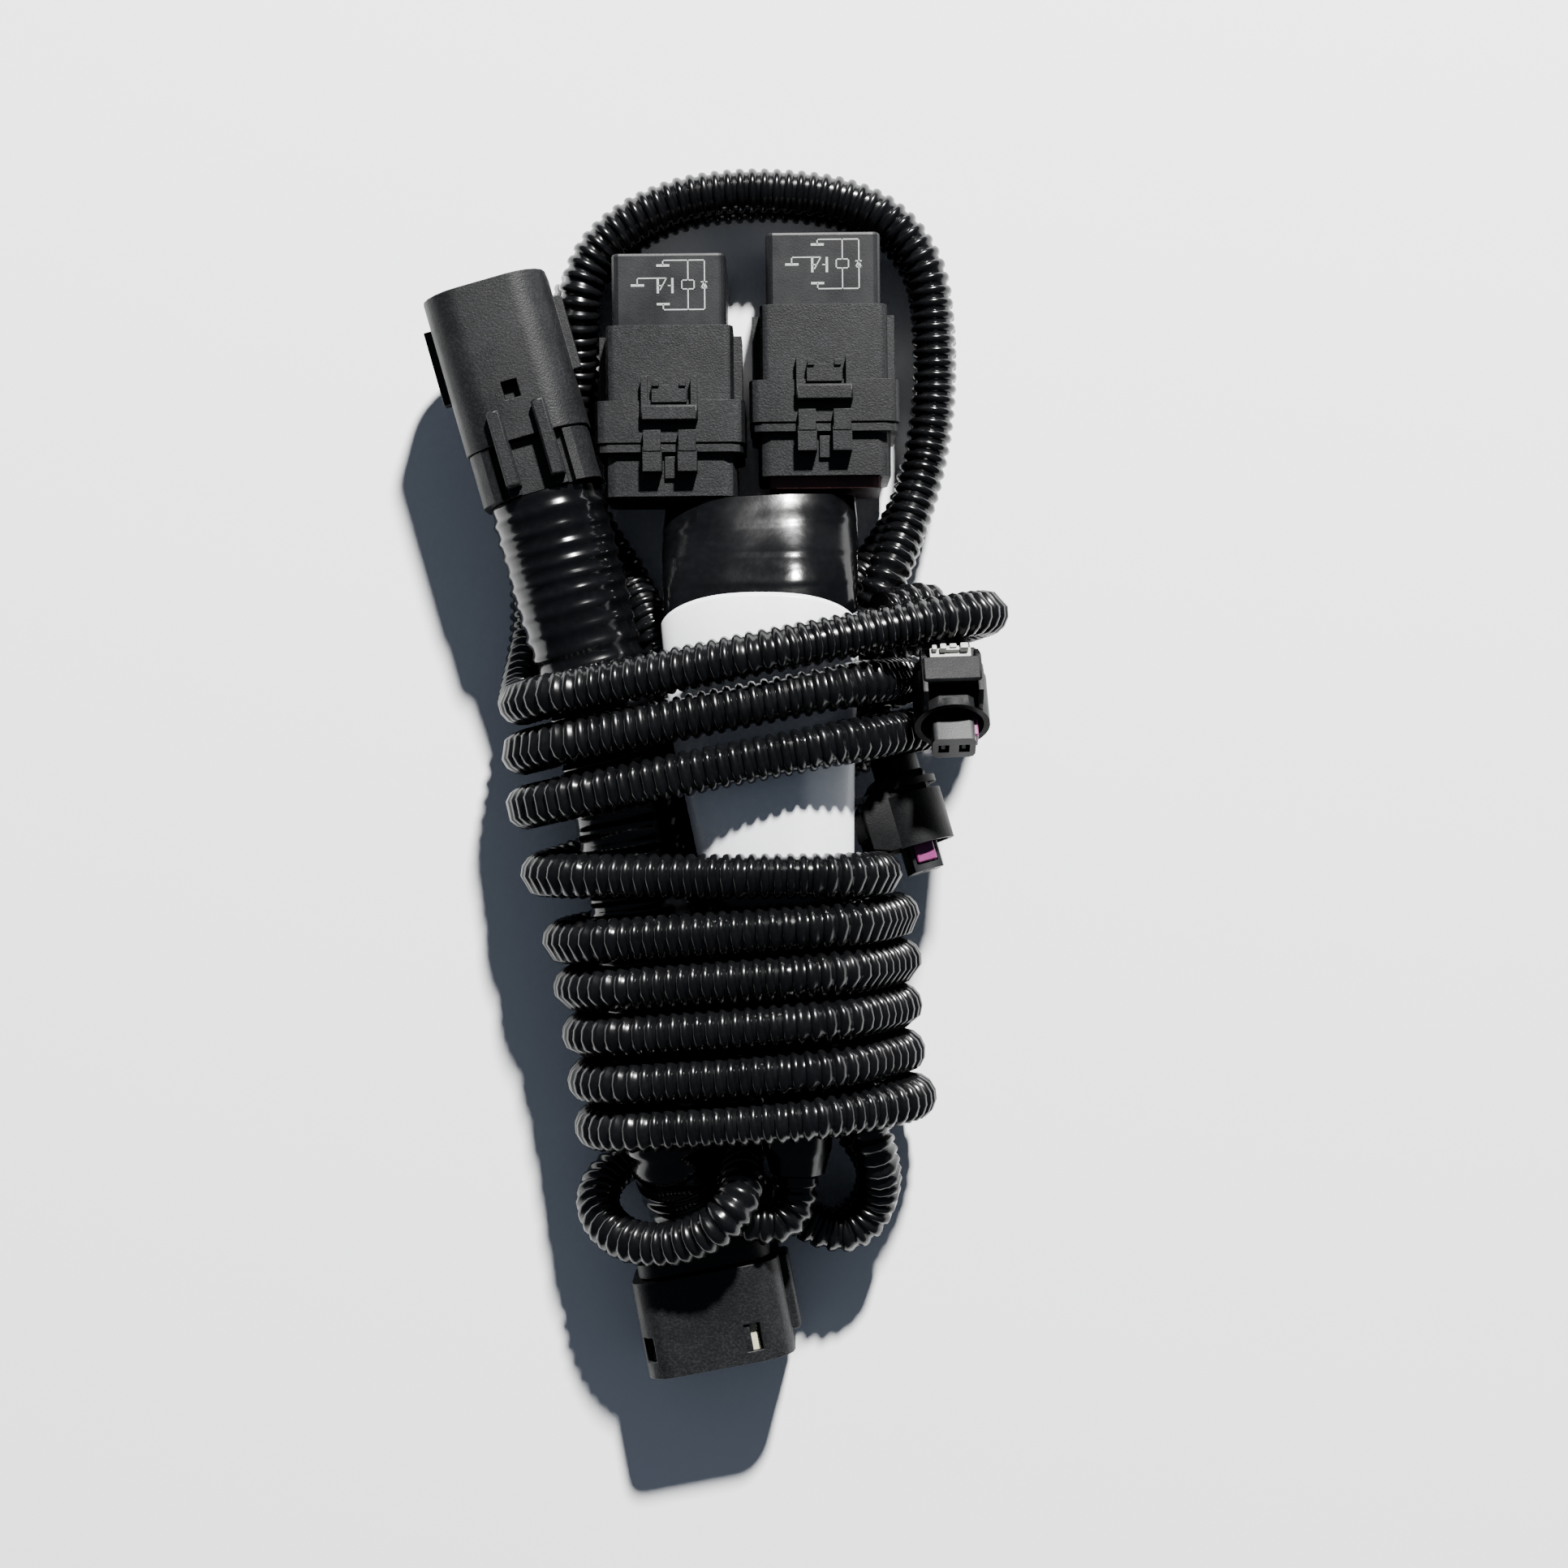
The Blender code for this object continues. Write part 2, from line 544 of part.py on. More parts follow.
def settle(lines, held, rounds=240):
    """Push the looms clear of each other and of the rest; a held loom keeps its far end."""
    tree = pieces_tree()
    reach = LOOM_DIAMETER + STRAND_GAP
    apart = 21.0 / LINE_STEP
    shifts = {name: [Vector() for _ in line] for name, line in lines.items()}
    for _ in range(rounds):
        owners = [(name, i) for name, line in lines.items() for i in range(len(line))]
        nearby = kdtree.KDTree(len(owners))
        for key, (name, i) in enumerate(owners):
            nearby.insert(lines[name][i] + shifts[name][i], key)
        nearby.balance()
        for name, line in lines.items():
            pushed = []
            for i, (place, shift) in enumerate(zip(line, shifts[name])):
                here = place + shift
                if i < len(line) - 3 or not held[name]:
                    push = push_from_pieces(tree, here, LOOM_DIAMETER / 2 + STRAND_GAP) * 0.6
                else:
                    push = Vector()
                for other, key, distance in nearby.find_range(here, reach):
                    owner, j = owners[key]
                    if owner == name and abs(i - j) < apart:
                        continue
                    push += (here - other).normalized() * (reach - distance) * 0.22
                pushed.append(shift + push)
            spread = [(a + b * 2 + c) / 4 for a, b, c in zip(pushed, pushed[1:], pushed[2:])]
            shifts[name] = [pushed[0]] + spread + [pushed[-1]]
            if held[name]:
                shifts[name][-3:] = [Vector()] * 3
    return {name: [a + b for a, b in zip(line, shifts[name])] for name, line in lines.items()}


def tube(name, line, diameter, finish, parent, radii=None, sides=2):
    curve = bpy.data.curves.new(name, "CURVE")
    curve.dimensions = "3D"
    curve.bevel_depth = diameter / 2 * MM
    curve.bevel_resolution = sides
    curve.use_fill_caps = True
    spline = curve.splines.new("POLY")
    spline.points.add(len(line) - 1)
    for index, (point, place) in enumerate(zip(spline.points, line)):
        point.co = (*(Vector(place) * MM), 1.0)
        point.radius = radii[index] if radii else 1.0
    made = bpy.data.objects.new(name, curve)
    PARTS.objects.link(made)
    made.parent = parent
    curve.materials.append(material(finish))
    return made


def build_inlet_plug(parent):
    at = empty_at("inlet_frame", parent, INLET_REAR, INLET_TURN)
    rear = INLET_COVER_LENGTH + GAP
    mouth = rear + INLET_LENGTH
    floor = mouth - INLET_CAVITY
    inner_width = INLET_WIDTH - 2 * INLET_WALL
    inner_height = INLET_HEIGHT - 2 * INLET_WALL
    inner_corner = INLET_CORNER - INLET_WALL
    housing = prism("inlet_housing", INLET_WIDTH, INLET_HEIGHT, INLET_CORNER, rear, mouth,
                    "grained_black_plastic", at, steps=5)
    half = INLET_WIDTH / 2
    rails = [boxes("inlet_rail_" + side, [((min(a, b), floor, -2.0), (max(a, b), floor + 17.4, 2.0))],
                   None, at) for side, a, b in (("left", -half - 2.0, 1.0 - half),
                                                ("right", half - 1.0, half + 2.0))]
    join(housing, *rails)
    window = INLET_WALL + 0.6
    roof = INLET_HEIGHT / 2
    cut(housing,
        prism("inlet_cavity", inner_width, inner_height, inner_corner, floor, mouth + 2, None, at, 5),
        prism("inlet_rear_chamber", inner_width, inner_height, inner_corner, rear - 2,
              rear + INLET_CHAMBER, None, at, 5),
        boxes("inlet_window", [((-1.8, floor - 4.4, roof - window), (1.8, floor - 0.4, roof + 1))],
              None, at))
    seal_edge = 2 * INLET_WALL + 2 * GAP
    prism("inlet_wire_seal", INLET_WIDTH - seal_edge, INLET_HEIGHT - seal_edge, inner_corner - GAP,
          rear + 1.0, rear + INLET_CHAMBER - GAP, "red_silicone", at)
    build_inlet_pins(at, floor + GAP)
    build_inlet_cover(at, rear)
    return at


def build_inlet_pins(at, start):
    spans = []
    for row in range(INLET_PIN_ROWS):
        for column in range(INLET_PIN_COLUMNS):
            x = (column - (INLET_PIN_COLUMNS - 1) / 2) * INLET_PIN_PITCH
            z = (row - (INLET_PIN_ROWS - 1) / 2) * 2 * INLET_PIN_PITCH
            side = INLET_PIN_SIDE / 2
            spans.append(((x - side, start + 0.5, z - side),
                          (x + side, start + INLET_PIN_LENGTH, z + side)))
    half_width = INLET_PIN_COLUMNS * INLET_PIN_PITCH / 2
    header = prism("inlet_pin_header", 2 * half_width, 3.5 * INLET_PIN_PITCH, 1.0, start,
                   start + INLET_HEADER, "tinned_brass", at, 1)
    join(header, boxes("inlet_pins", spans, None, at))


def build_inlet_cover(at, rear):
    width = INLET_WIDTH - 2 * INLET_COVER_INSET
    height = INLET_HEIGHT - 2 * INLET_COVER_INSET
    corner = INLET_CORNER - INLET_COVER_INSET
    cover = prism("inlet_rear_cover", width, height, corner, 0, INLET_COVER_LENGTH,
                  "grained_black_plastic", at, steps=5)
    roof = height / 2
    inner = FINGER_SPACING / 2 - FINGER_WIDTH / 2
    outer = FINGER_SPACING / 2 + FINGER_WIDTH / 2
    top = INLET_HEIGHT / 2 + GAP
    gullies = [boxes("inlet_gully_" + side, [((x - 0.9, -1, roof - 2.2), (x + 0.9, 20, roof + 3))],
                     None, at) for side, x in (("left", -outer - 0.9), ("right", outer + 0.9))]
    middle = boxes("inlet_recess", [((-inner - 0.5, -1, roof - 1.5), (inner + 0.5, 20, roof + 3))],
                   None, at)
    cut(cover, middle, *gullies)
    fingers = []
    for side, x in (("left", -FINGER_SPACING / 2), ("right", FINGER_SPACING / 2)):
        low, high = x - FINGER_WIDTH / 2, x + FINGER_WIDTH / 2
        root = boxes("inlet_finger_root_" + side,
                     [((low, 1.9, roof - 3), (high, INLET_COVER_LENGTH - 0.1, top + 1))], None, at)
        beam = boxes("inlet_finger_" + side,
                     [((low, 1.9, top), (high, 1.9 + FINGER_LENGTH, top + FINGER_HEIGHT))],
                     None, at, edge=0.5)
        fingers += [root, beam]
    join(cover, *fingers)


def build_outlet_plug(parent):
    at = empty_at("outlet_frame", parent, OUTLET_REAR, -OUTLET_TURN)
    rear = OUTLET_NECK_LENGTH + GAP
    mouth = rear + OUTLET_LENGTH
    floor = mouth - OUTLET_CAVITY
    inner = (OUTLET_WIDTH - 2 * OUTLET_WALL, OUTLET_HEIGHT - 2 * OUTLET_WALL)
    corner = OUTLET_CORNER - OUTLET_WALL
    shell = prism("outlet_housing", OUTLET_WIDTH, OUTLET_HEIGHT, OUTLET_CORNER, rear, mouth,
                  "grained_black_plastic", at, steps=4)
    side = -OUTLET_WIDTH / 2
    join(shell, boxes("outlet_rail", [((side - 2.2, rear + 0.4, -5.0), (side + 1.5, mouth - 4.0, 5.0))],
                      None, at, edge=0.6))
    top = OUTLET_HEIGHT / 2
    window_x = OUTLET_WINDOW_ASIDE - OUTLET_WIDTH / 2
    window_to = mouth - OUTLET_WINDOW_BACK
    notch_x = OUTLET_WIDTH / 2 - OUTLET_NOTCH_ASIDE
    notch_to = mouth - OUTLET_NOTCH_BACK
    chamber = (OUTLET_NECK_WIDTH - 4.0, OUTLET_NECK_HEIGHT - 4.0)
    cut(shell,
        prism("outlet_cavity", *inner, corner, floor, mouth + 2, None, at, 4),
        prism("outlet_chamber", *chamber, corner, rear - 2, rear + OUTLET_CHAMBER, None, at, 4),
        boxes("outlet_window",
              [((window_x - OUTLET_WINDOW_WIDTH / 2, window_to - OUTLET_WINDOW_LENGTH, top - 3),
                (window_x + OUTLET_WINDOW_WIDTH / 2, window_to, top + 2))], None, at),
        boxes("outlet_notch",
              [((notch_x - OUTLET_NOTCH_WIDTH, notch_to - OUTLET_NOTCH_LENGTH, top - OUTLET_CORNER),
                (notch_x, notch_to, top + 2))], None, at))
    prism("outlet_wire_seal", chamber[0] - 2 * GAP, chamber[1] - 2 * GAP, corner - GAP, rear + 0.3,
          rear + OUTLET_CHAMBER - GAP, "red_silicone", at)
    ring_width = inner[0] - 2 * OUTLET_SEAL_SIDE
    ring_height = inner[1] - 2 * OUTLET_SEAL_ABOVE
    width = ring_width - 2 * OUTLET_SEAL_THICKNESS
    height = ring_height - 2 * OUTLET_SEAL_THICKNESS
    block_to = mouth - 1.0
    block = prism("outlet_terminal_block", width, height, 1.5, floor + GAP, block_to,
                  "relay_black_plastic", at, steps=2)
    holes = []
    side = OUTLET_HOLE_SIDE / 2
    for z in (-0.225 * height, 0.225 * height):
        for column in range(OUTLET_HOLE_COLUMNS):
            x = (column - (OUTLET_HOLE_COLUMNS - 1) / 2) * OUTLET_HOLE_PITCH
            holes.append(((x - side, block_to - OUTLET_HOLE_DEPTH, z - side), (x + side, mouth + 2, z + side)))
    cut(block, boxes("outlet_terminal_holes", holes, None, at))
    ring = prism("outlet_ring_seal", ring_width, ring_height, 3.0, floor + GAP, floor + 3.3,
                 "red_silicone", at, 2)
    cut(ring, prism("outlet_ring_bore", width + 2 * GAP, height + 2 * GAP, 1.6, floor - 1, floor + 5,
                    None, at, 2))
    retainer_x = window_x + OUTLET_RETAINER_SHIFT
    retainer_to = window_to + 0.9
    boxes("outlet_retainer",
          [((retainer_x - OUTLET_RETAINER_WIDTH / 2, retainer_to - OUTLET_RETAINER_LENGTH,
             height / 2 + GAP),
            (retainer_x + OUTLET_RETAINER_WIDTH / 2, retainer_to, top - OUTLET_WALL - GAP))],
          "ivory_plastic", at, edge=0.3)
    prism("outlet_rear_cover", OUTLET_NECK_WIDTH, OUTLET_NECK_HEIGHT, OUTLET_CORNER, 0,
          OUTLET_NECK_LENGTH, "grained_black_plastic", at, steps=4)
    return at


def blade_spans(y_from, y_to, extra=0.0):
    """The five flat terminals of a small relay: four round one in the middle."""
    wide = BLADE_WIDTH / 2 + extra
    thin = BLADE_THICKNESS / 2 + extra
    upright = [(-8.5, 0.0), (8.5, 0.0), (0.0, 0.0)]
    flat = [(0.0, 8.4), (0.0, -8.4)]
    spans = [((x - thin, y_from, z - wide), (x + thin, y_to, z + wide)) for x, z in upright[:2]]
    spans += [((x - wide, y_from, z - thin), (x + wide, y_to, z + thin)) for x, z in upright[2:] + flat]
    return spans


def build_relay(parent, number, rear):
    at = empty_at("relay_%d_frame" % number, parent, (*rear, FLANGE_HEIGHT / 2 + GAP), SOCKET_TURN)
    tag = "relay_%d_" % number
    flange_from = CAP_LENGTH + CAP_FLANGE + GAP
    body_from = flange_from + FLANGE_LENGTH
    body_to = body_from + SOCKET_LENGTH
    floor = body_to - SOCKET_POCKET
    build_socket(at, tag, flange_from, body_from, body_to, floor)
    build_socket_cover(at, tag, flange_from)
    seat = body_to - RELAY_SEAT
    cover = prism(tag + "cover", RELAY_SIDE, RELAY_SIDE, 1.6, seat, body_to + RELAY_SHOWN,
                  "relay_black_plastic", at, 2)
    edge = cover.modifiers.new("Edge", "BEVEL")
    edge.width = 0.7 * MM
    edge.segments = 2
    edge.limit_method = "ANGLE"
    base_from = floor + 2.0
    plate_from = seat - GAP - BLADE_PLATE
    base = prism(tag + "base", RELAY_SIDE - 0.8, RELAY_SIDE - 0.8, 1.4, base_from, plate_from - GAP,
                 "grained_black_plastic", at, 2)
    cut(base, boxes(tag + "base_slots", blade_spans(base_from - 2, seat + 2, 0.3), None, at))
    plate = prism(tag + "terminals", 20.0, 20.0, 0, plate_from, seat - GAP, "tinned_brass", at)
    join(plate, boxes(tag + "blades", blade_spans(plate_from - BLADE_LENGTH, plate_from + 0.4), None, at))


def build_socket(at, tag, flange_from, body_from, body_to, floor):
    socket = prism(tag + "socket", SOCKET_WIDTH, SOCKET_WIDTH, 2.2, flange_from + 1, body_to,
                   "grained_black_plastic", at, 2)
    half = SOCKET_WIDTH / 2
    roof = FLANGE_HEIGHT / 2
    flange = prism(tag + "socket_flange", FLANGE_WIDTH, FLANGE_HEIGHT, 2.6, flange_from,
                   body_from, None, at, 2)
    rails = boxes(tag + "socket_rails",
                  [((-half - 1.9, body_from - 1, -6.0), (1.0 - half, body_to - 1.2, 6.0)),
                   ((half - 1.0, body_from - 1, -6.0), (half + 1.9, body_to - 1.2, 6.0))], None, at)
    bridge = boxes(tag + "latch_bridge", [((-6.5, body_from - 5.0, roof - 1), (6.5, body_from - 1.3, roof + 2.4))],
                   None, at, edge=0.4)
    posts = boxes(tag + "latch_posts",
                  [((-6.4, body_from - 2.0, half - 1), (-4.9, body_from + 5.2, roof + 1.7)),
                   ((4.9, body_from - 2.0, half - 1), (6.4, body_from + 5.2, roof + 1.7))], None, at)
    tab = separate_boxes(tag + "latch_tab",
                         [((-4.0, body_from - 0.6, half - 1), (4.0, body_from + 3.4, roof + 1.0)),
                          ((-3.8, body_from + 3.0, half - 0.8), (-2.3, body_from + 4.4, roof + 1.5)),
                          ((2.3, body_from + 3.0, half - 0.8), (3.8, body_from + 4.4, roof + 1.5))], at)
    join(socket, flange, rails, bridge, posts, *tab)
    pocket = RELAY_SIDE + 2 * GAP
    cut(socket,
        prism(tag + "socket_pocket", pocket, pocket, 1.7, floor, body_to + 2, None, at, 2),
        boxes(tag + "socket_slots", blade_spans(body_from - 4.0, floor + 2, GAP), None, at))


def build_socket_cover(at, tag, flange_from):
    cap = prism(tag + "socket_cover", CAP_WIDTH, CAP_HEIGHT, 3.0, 0, CAP_LENGTH + 0.5,
                "grained_black_plastic", at, 2)
    plate = prism(tag + "cover_plate", FLANGE_WIDTH - 0.8, FLANGE_HEIGHT - 0.8, 2.6, CAP_LENGTH,
                  CAP_LENGTH + CAP_FLANGE, None, at, 2)
    roof = FLANGE_HEIGHT / 2
    cap_roof = CAP_HEIGHT / 2
    prongs = separate_boxes(tag + "prong",
                            [((-6.2, 5.3, cap_roof - 1), (-1.8, CAP_LENGTH + 1, roof + 1.7)),
                             ((1.8, 5.3, cap_roof - 1), (6.2, CAP_LENGTH + 1, roof + 1.7)),
                             ((-6.0, CAP_LENGTH, roof + GAP), (-2.0, flange_from + 2.6, roof + 1.9)),
                             ((2.0, CAP_LENGTH, roof + GAP), (6.0, flange_from + 2.6, roof + 1.9))], at)
    tongue = boxes(tag + "tongue", [((-1.2, 4.0, cap_roof - 1), (1.2, 9.0, cap_roof + 0.9))], None, at)
    join(cap, plate, *prongs, tongue)
    seal_width, seal_height = CAP_WIDTH - 4.0, CAP_HEIGHT - 4.0
    cut(cap, prism(tag + "seal_pocket", seal_width, seal_height, 2.0, -2, 4.5, None, at, 2))
    shown = 2.6 if tag == "relay_2_" else -1.5
    prism(tag + "wire_seal", seal_width - 2 * GAP, seal_height - 2 * GAP, 1.8, -shown, 4.5 - GAP,
          "red_silicone", at, 2)


def build_lamp_plug(parent, number, rear, turn, pitch, roll=0.0):
    at = empty_at("lamp_%d_frame" % number, parent, rear, turn, pitch, roll)
    tag = "lamp_%d_" % number
    housing = cylinder(tag + "housing", LAMP_COLLAR, LAMP_COLLAR_FROM, LAMP_COLLAR_TO,
                       "grained_black_plastic", at)
    boss = cylinder(tag + "boss", LAMP_BOSS, 0, LAMP_COLLAR_FROM + 1, None, at, sides=20)
    half = LAMP_BODY_WIDTH / 2
    body = boxes(tag + "body", [((-half, 4.5, -5.0), (half, LAMP_COLLAR_FROM + 2, 7.0))], None, at,
                 edge=0.8)
    rim = cylinder(tag + "rim", LAMP_COLLAR - 0.8, 6.4, 8.0, None, at)
    roof_to = LAMP_COLLAR_TO - 4.0
    roof = boxes(tag + "roof", [((-half, LAMP_ROOF_FROM, 5.0), (half, roof_to, LAMP_ROOF))], None, at,
                 edge=0.5)
    join(housing, boss, rim, body, roof)
    slot_top = LAMP_ROOF - 1.3
    slot_low = slot_top - LOCK_HEIGHT - 2 * GAP
    lock_half = LOCK_WIDTH / 2
    cut(housing,
        cylinder(tag + "cavity", LAMP_COLLAR - 2 * LAMP_COLLAR_WALL, LAMP_COLLAR_TO - LAMP_CAVITY,
                 LAMP_COLLAR_TO + 2, None, at),
        boxes(tag + "lock_slot", [((-lock_half - GAP, 3.0, slot_low),
                                   (lock_half + GAP, roof_to + 2, slot_top))], None, at),
        boxes(tag + "latch_window", [((-lock_half, LAMP_ROOF_FROM + 3.6, slot_low),
                                      (lock_half, roof_to + 2, LAMP_ROOF - 0.9))], None, at),
        cylinder(tag + "wire_bore", LAMP_BOSS - 3.2, -1, 3.4, None, at, sides=20))
    cylinder(tag + "wire_seal", LAMP_BOSS - 3.2 - 2 * GAP, GAP, 3.4 - GAP, "red_silicone", at, sides=16)
    inner_from = LAMP_COLLAR_TO - LAMP_CAVITY + GAP
    tower = prism(tag + "terminal_block", LAMP_TOWER_WIDTH, LAMP_TOWER_HEIGHT, 1.4, inner_from,
                  LAMP_LENGTH, "relay_black_plastic", at, 2)
    ends = [((x - 1.2, LAMP_LENGTH - 6, -1.6), (x + 1.2, LAMP_LENGTH + 1, 1.2)) for x in (-2.3, 2.3)]
    notch = ((-LAMP_TOWER_WIDTH, inner_from + 2.6, -2.6), (1.4 - LAMP_TOWER_WIDTH / 2, LAMP_LENGTH - 1.6, 2.6))
    cut(tower, boxes(tag + "terminal_holes", ends, None, at), boxes(tag + "retainer_notch", [notch], None, at))
    side = LAMP_TOWER_WIDTH / 2
    boxes(tag + "retainer", [((-side - 0.7, inner_from + 2.6 + GAP, -2.3),
                              (1.4 - GAP - side, LAMP_LENGTH - 1.9, 2.3))], "magenta_plastic", at,
          edge=0.25)
    ring = cylinder(tag + "ring_seal", LAMP_COLLAR - 2 * LAMP_COLLAR_WALL - 2 * GAP, inner_from,
                    inner_from + 2.2, "red_silicone", at, sides=24)
    cut(ring, prism(tag + "ring_bore", LAMP_TOWER_WIDTH + 2 * GAP, LAMP_TOWER_HEIGHT + 2 * GAP, 1.5,
                    inner_from - 1, inner_from + 4, None, at, 2))
    lock = boxes(tag + "lock_slider", [((-lock_half, LOCK_FROM, slot_low + GAP),
                                        (lock_half, LOCK_FROM + LOCK_LENGTH, slot_top - GAP))],
                 "grey_lock_plastic", at, edge=0.35)
    grip = boxes(tag + "lock_grip", [((-lock_half + 0.6, LOCK_FROM, slot_top - 1.0),
                                      (lock_half - 0.6, LAMP_ROOF_FROM - LOCK_TRAVEL - 0.2,
                                       LAMP_ROOF + 0.2))],
                 None, at)
    join(lock, grip)


def trunk_2_ring(y, sides, grow=0.0):
    """One ring of the relay trunk, from its station at y."""
    x, z, half_width, half_height = between(TRUNK_2, y)
    ring = []
    for index in range(sides):
        angle = 2 * math.pi * index / sides
        ring.append(trunk_2_point(angle, x, z, half_width + grow, half_height + grow, y))
    return ring


def trunk_2_point(angle, x, z, half_width, half_height, y):
    across = math.copysign(abs(math.cos(angle)) ** (2 / TRUNK_2_POWER), math.cos(angle))
    up = math.copysign(abs(math.sin(angle)) ** (2 / TRUNK_2_POWER), math.sin(angle))
    ease = min(max((y - 48.0) / (TRUNK_2[0][0] - 48.0), 0.0), 1.0)
    skew = TRUNK_2_SKEW * ease * half_width * (1 + across)
    return Vector((x + half_width * across, y + skew, z + half_height * up))


def build_trunk_2(parent):
    shape = bmesh.new()
    sides = 22
    places = []
    for upper, lower in zip(TRUNK_2, TRUNK_2[1:]):
        count = max(1, round((upper[0] - lower[0]) / 9.0))
        places += [upper[0] + (lower[0] - upper[0]) * i / count for i in range(count)]
    places.append(TRUNK_2[-1][0])
    rings = []
    for y in places:
        rings.append([shape.verts.new(p * MM) for p in trunk_2_ring(y, sides)])
    for first, second in zip(rings, rings[1:]):
        for i in range(sides):
            j = (i + 1) % sides
            shape.faces.new((first[i], first[j], second[j], second[i]))
    shape.faces.new(list(reversed(rings[0])))
    shape.faces.new(rings[-1])
    bmesh.ops.recalc_face_normals(shape, faces=shape.faces)
    mesh = bpy.data.meshes.new("relay_trunk_tape")
    shape.to_mesh(mesh)
    shape.free()
    add_object("relay_trunk_tape", mesh, "black_tape", parent, smooth=50)


def build_label(parent):
    shape = bmesh.new()
    columns, rows = 12, 9
    grid = []
    for row in range(rows + 1):
        line = []
        for column in range(columns + 1):
            side = 2 * column / columns - 1
            top = LABEL_TO + LABEL_BOW * (1 - side * side)
            y = LABEL_FROM + (top - LABEL_FROM) * row / rows
            x, z, half_width, half_height = between(TRUNK_2, y)
            angle = math.radians(90 - LABEL_SPREAD * side)
            line.append(shape.verts.new(trunk_2_point(angle, x, z, half_width + GAP,
                                                      half_height + GAP, y) * MM))
        grid.append(line)
    for low, high in zip(grid, grid[1:]):
        for i in range(columns):
            shape.faces.new((low[i], low[i + 1], high[i + 1], high[i]))
    bmesh.ops.recalc_face_normals(shape, faces=shape.faces)
    if sum(face.normal.z for face in shape.faces) < 0:
        bmesh.ops.reverse_faces(shape, faces=shape.faces)
    mesh = bpy.data.meshes.new("trunk_label")
    shape.to_mesh(mesh)
    shape.free()
    label = add_object("trunk_label", mesh, "white_label", parent)
    skin = label.modifiers.new("Thickness", "SOLIDIFY")
    skin.thickness = LABEL_THICKNESS * MM
    skin.offset = 1.0


def build_trunk_1(parent):
    centres = smooth_curve([p[:3] for p in TRUNK_1])
    line = evenly(centres, TRUNK_1_STEP)
    radii = [trunk_1_circle(place.y)[2] / TRUNK_1[0][3] for place in line]
    tube("main_trunk_tape", line, 2 * TRUNK_1[0][3], "black_tape", parent, radii, sides=3)


def build_looms(parent):
    lines = {"long_loom": long_loom_line()}
    for name, route in (("feed_loom", FEED_LOOM), ("link_loom", LINK_LOOM), ("lamp_1_lead", LAMP_LEAD)):
        lines[name] = relaxed(evenly(smooth_curve(route), LINE_STEP), 2)
    held = {name: name != "feed_loom" for name in lines}
    for name, line in settle(lines, held).items():
        tube(name, thinned(line), LOOM_DIAMETER, "loom_black_plastic", parent)


def stand_on_origin(base):
    """Put the origin under the middle of everything."""
    bpy.context.view_layer.update()
    graph = bpy.context.evaluated_depsgraph_get()
    places = []
    for item in PARTS.objects:
        made = item.evaluated_get(graph)
        places += [item.matrix_world @ vertex.co for vertex in made.to_mesh().vertices]
        made.to_mesh_clear()
    low, high = ([pick(place[axis] for place in places) for axis in range(3)] for pick in (min, max))
    base.location = (-(low[0] + high[0]) / 2, -(low[1] + high[1]) / 2, -low[2])
    print("moved by", [round(v, 6) for v in base.location])


clear_scene()
PARTS = new_collection("wiring_harness")
CUTTERS = new_collection("cutters")
BASE = bpy.data.objects.new("harness_frame", None)
bpy.context.scene.collection.objects.link(BASE)
build_inlet_plug(BASE)
build_outlet_plug(BASE)
build_relay(BASE, 1, SOCKET_1_REAR)
build_relay(BASE, 2, SOCKET_2_REAR)
build_lamp_plug(BASE, 1, LAMP_1_REAR, LAMP_1_TURN, LAMP_1_PITCH)
build_lamp_plug(BASE, 2, LAMP_2_REAR, LAMP_2_TURN, LAMP_2_PITCH, LAMP_2_ROLL)
build_trunk_1(BASE)
build_trunk_2(BASE)
build_label(BASE)
build_looms(BASE)
stand_on_origin(BASE)
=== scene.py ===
import json
import math

import bmesh
import bpy
from mathutils import Matrix, Vector, noise


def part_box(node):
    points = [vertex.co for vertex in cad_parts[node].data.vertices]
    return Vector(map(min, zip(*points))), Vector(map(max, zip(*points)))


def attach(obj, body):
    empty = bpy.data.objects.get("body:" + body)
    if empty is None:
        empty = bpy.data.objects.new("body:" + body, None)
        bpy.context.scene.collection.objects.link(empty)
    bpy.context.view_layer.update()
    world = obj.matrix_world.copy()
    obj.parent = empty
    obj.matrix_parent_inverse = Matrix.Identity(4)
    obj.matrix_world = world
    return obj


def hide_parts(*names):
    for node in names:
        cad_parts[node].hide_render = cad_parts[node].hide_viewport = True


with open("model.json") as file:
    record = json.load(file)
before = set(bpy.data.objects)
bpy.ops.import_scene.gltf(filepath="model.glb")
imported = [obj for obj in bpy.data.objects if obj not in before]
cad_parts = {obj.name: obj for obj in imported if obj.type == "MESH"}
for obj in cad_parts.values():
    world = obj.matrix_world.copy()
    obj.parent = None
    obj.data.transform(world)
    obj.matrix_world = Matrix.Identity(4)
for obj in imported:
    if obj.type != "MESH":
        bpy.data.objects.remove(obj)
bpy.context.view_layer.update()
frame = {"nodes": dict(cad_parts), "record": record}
mm = 0.001
shift = Vector((15.5983, -3.1333, 0.0378))      # from the layout of the parts to the row's origin
print("frame loaded")

studio = {
    "lens": 57.35, "sensor": 36.0, "height": 600,     # camera straight above, as in the photo
    "sky": (0.66, 0.78, 1.0), "skyLevel": 0.12,
    "floor": (0.93, 0.94, 0.96), "floorRough": 0.75, "floorSize": 3.0, "floorDrop": 0.1,
}
keyLamp = {      # beyond the relays and to the right, so that shadows fall as in the photo
    "place": (0.42, 1.70, 1.42), "size": 0.16, "power": 262.0, "colour": (1.0, 0.99, 0.97),
}


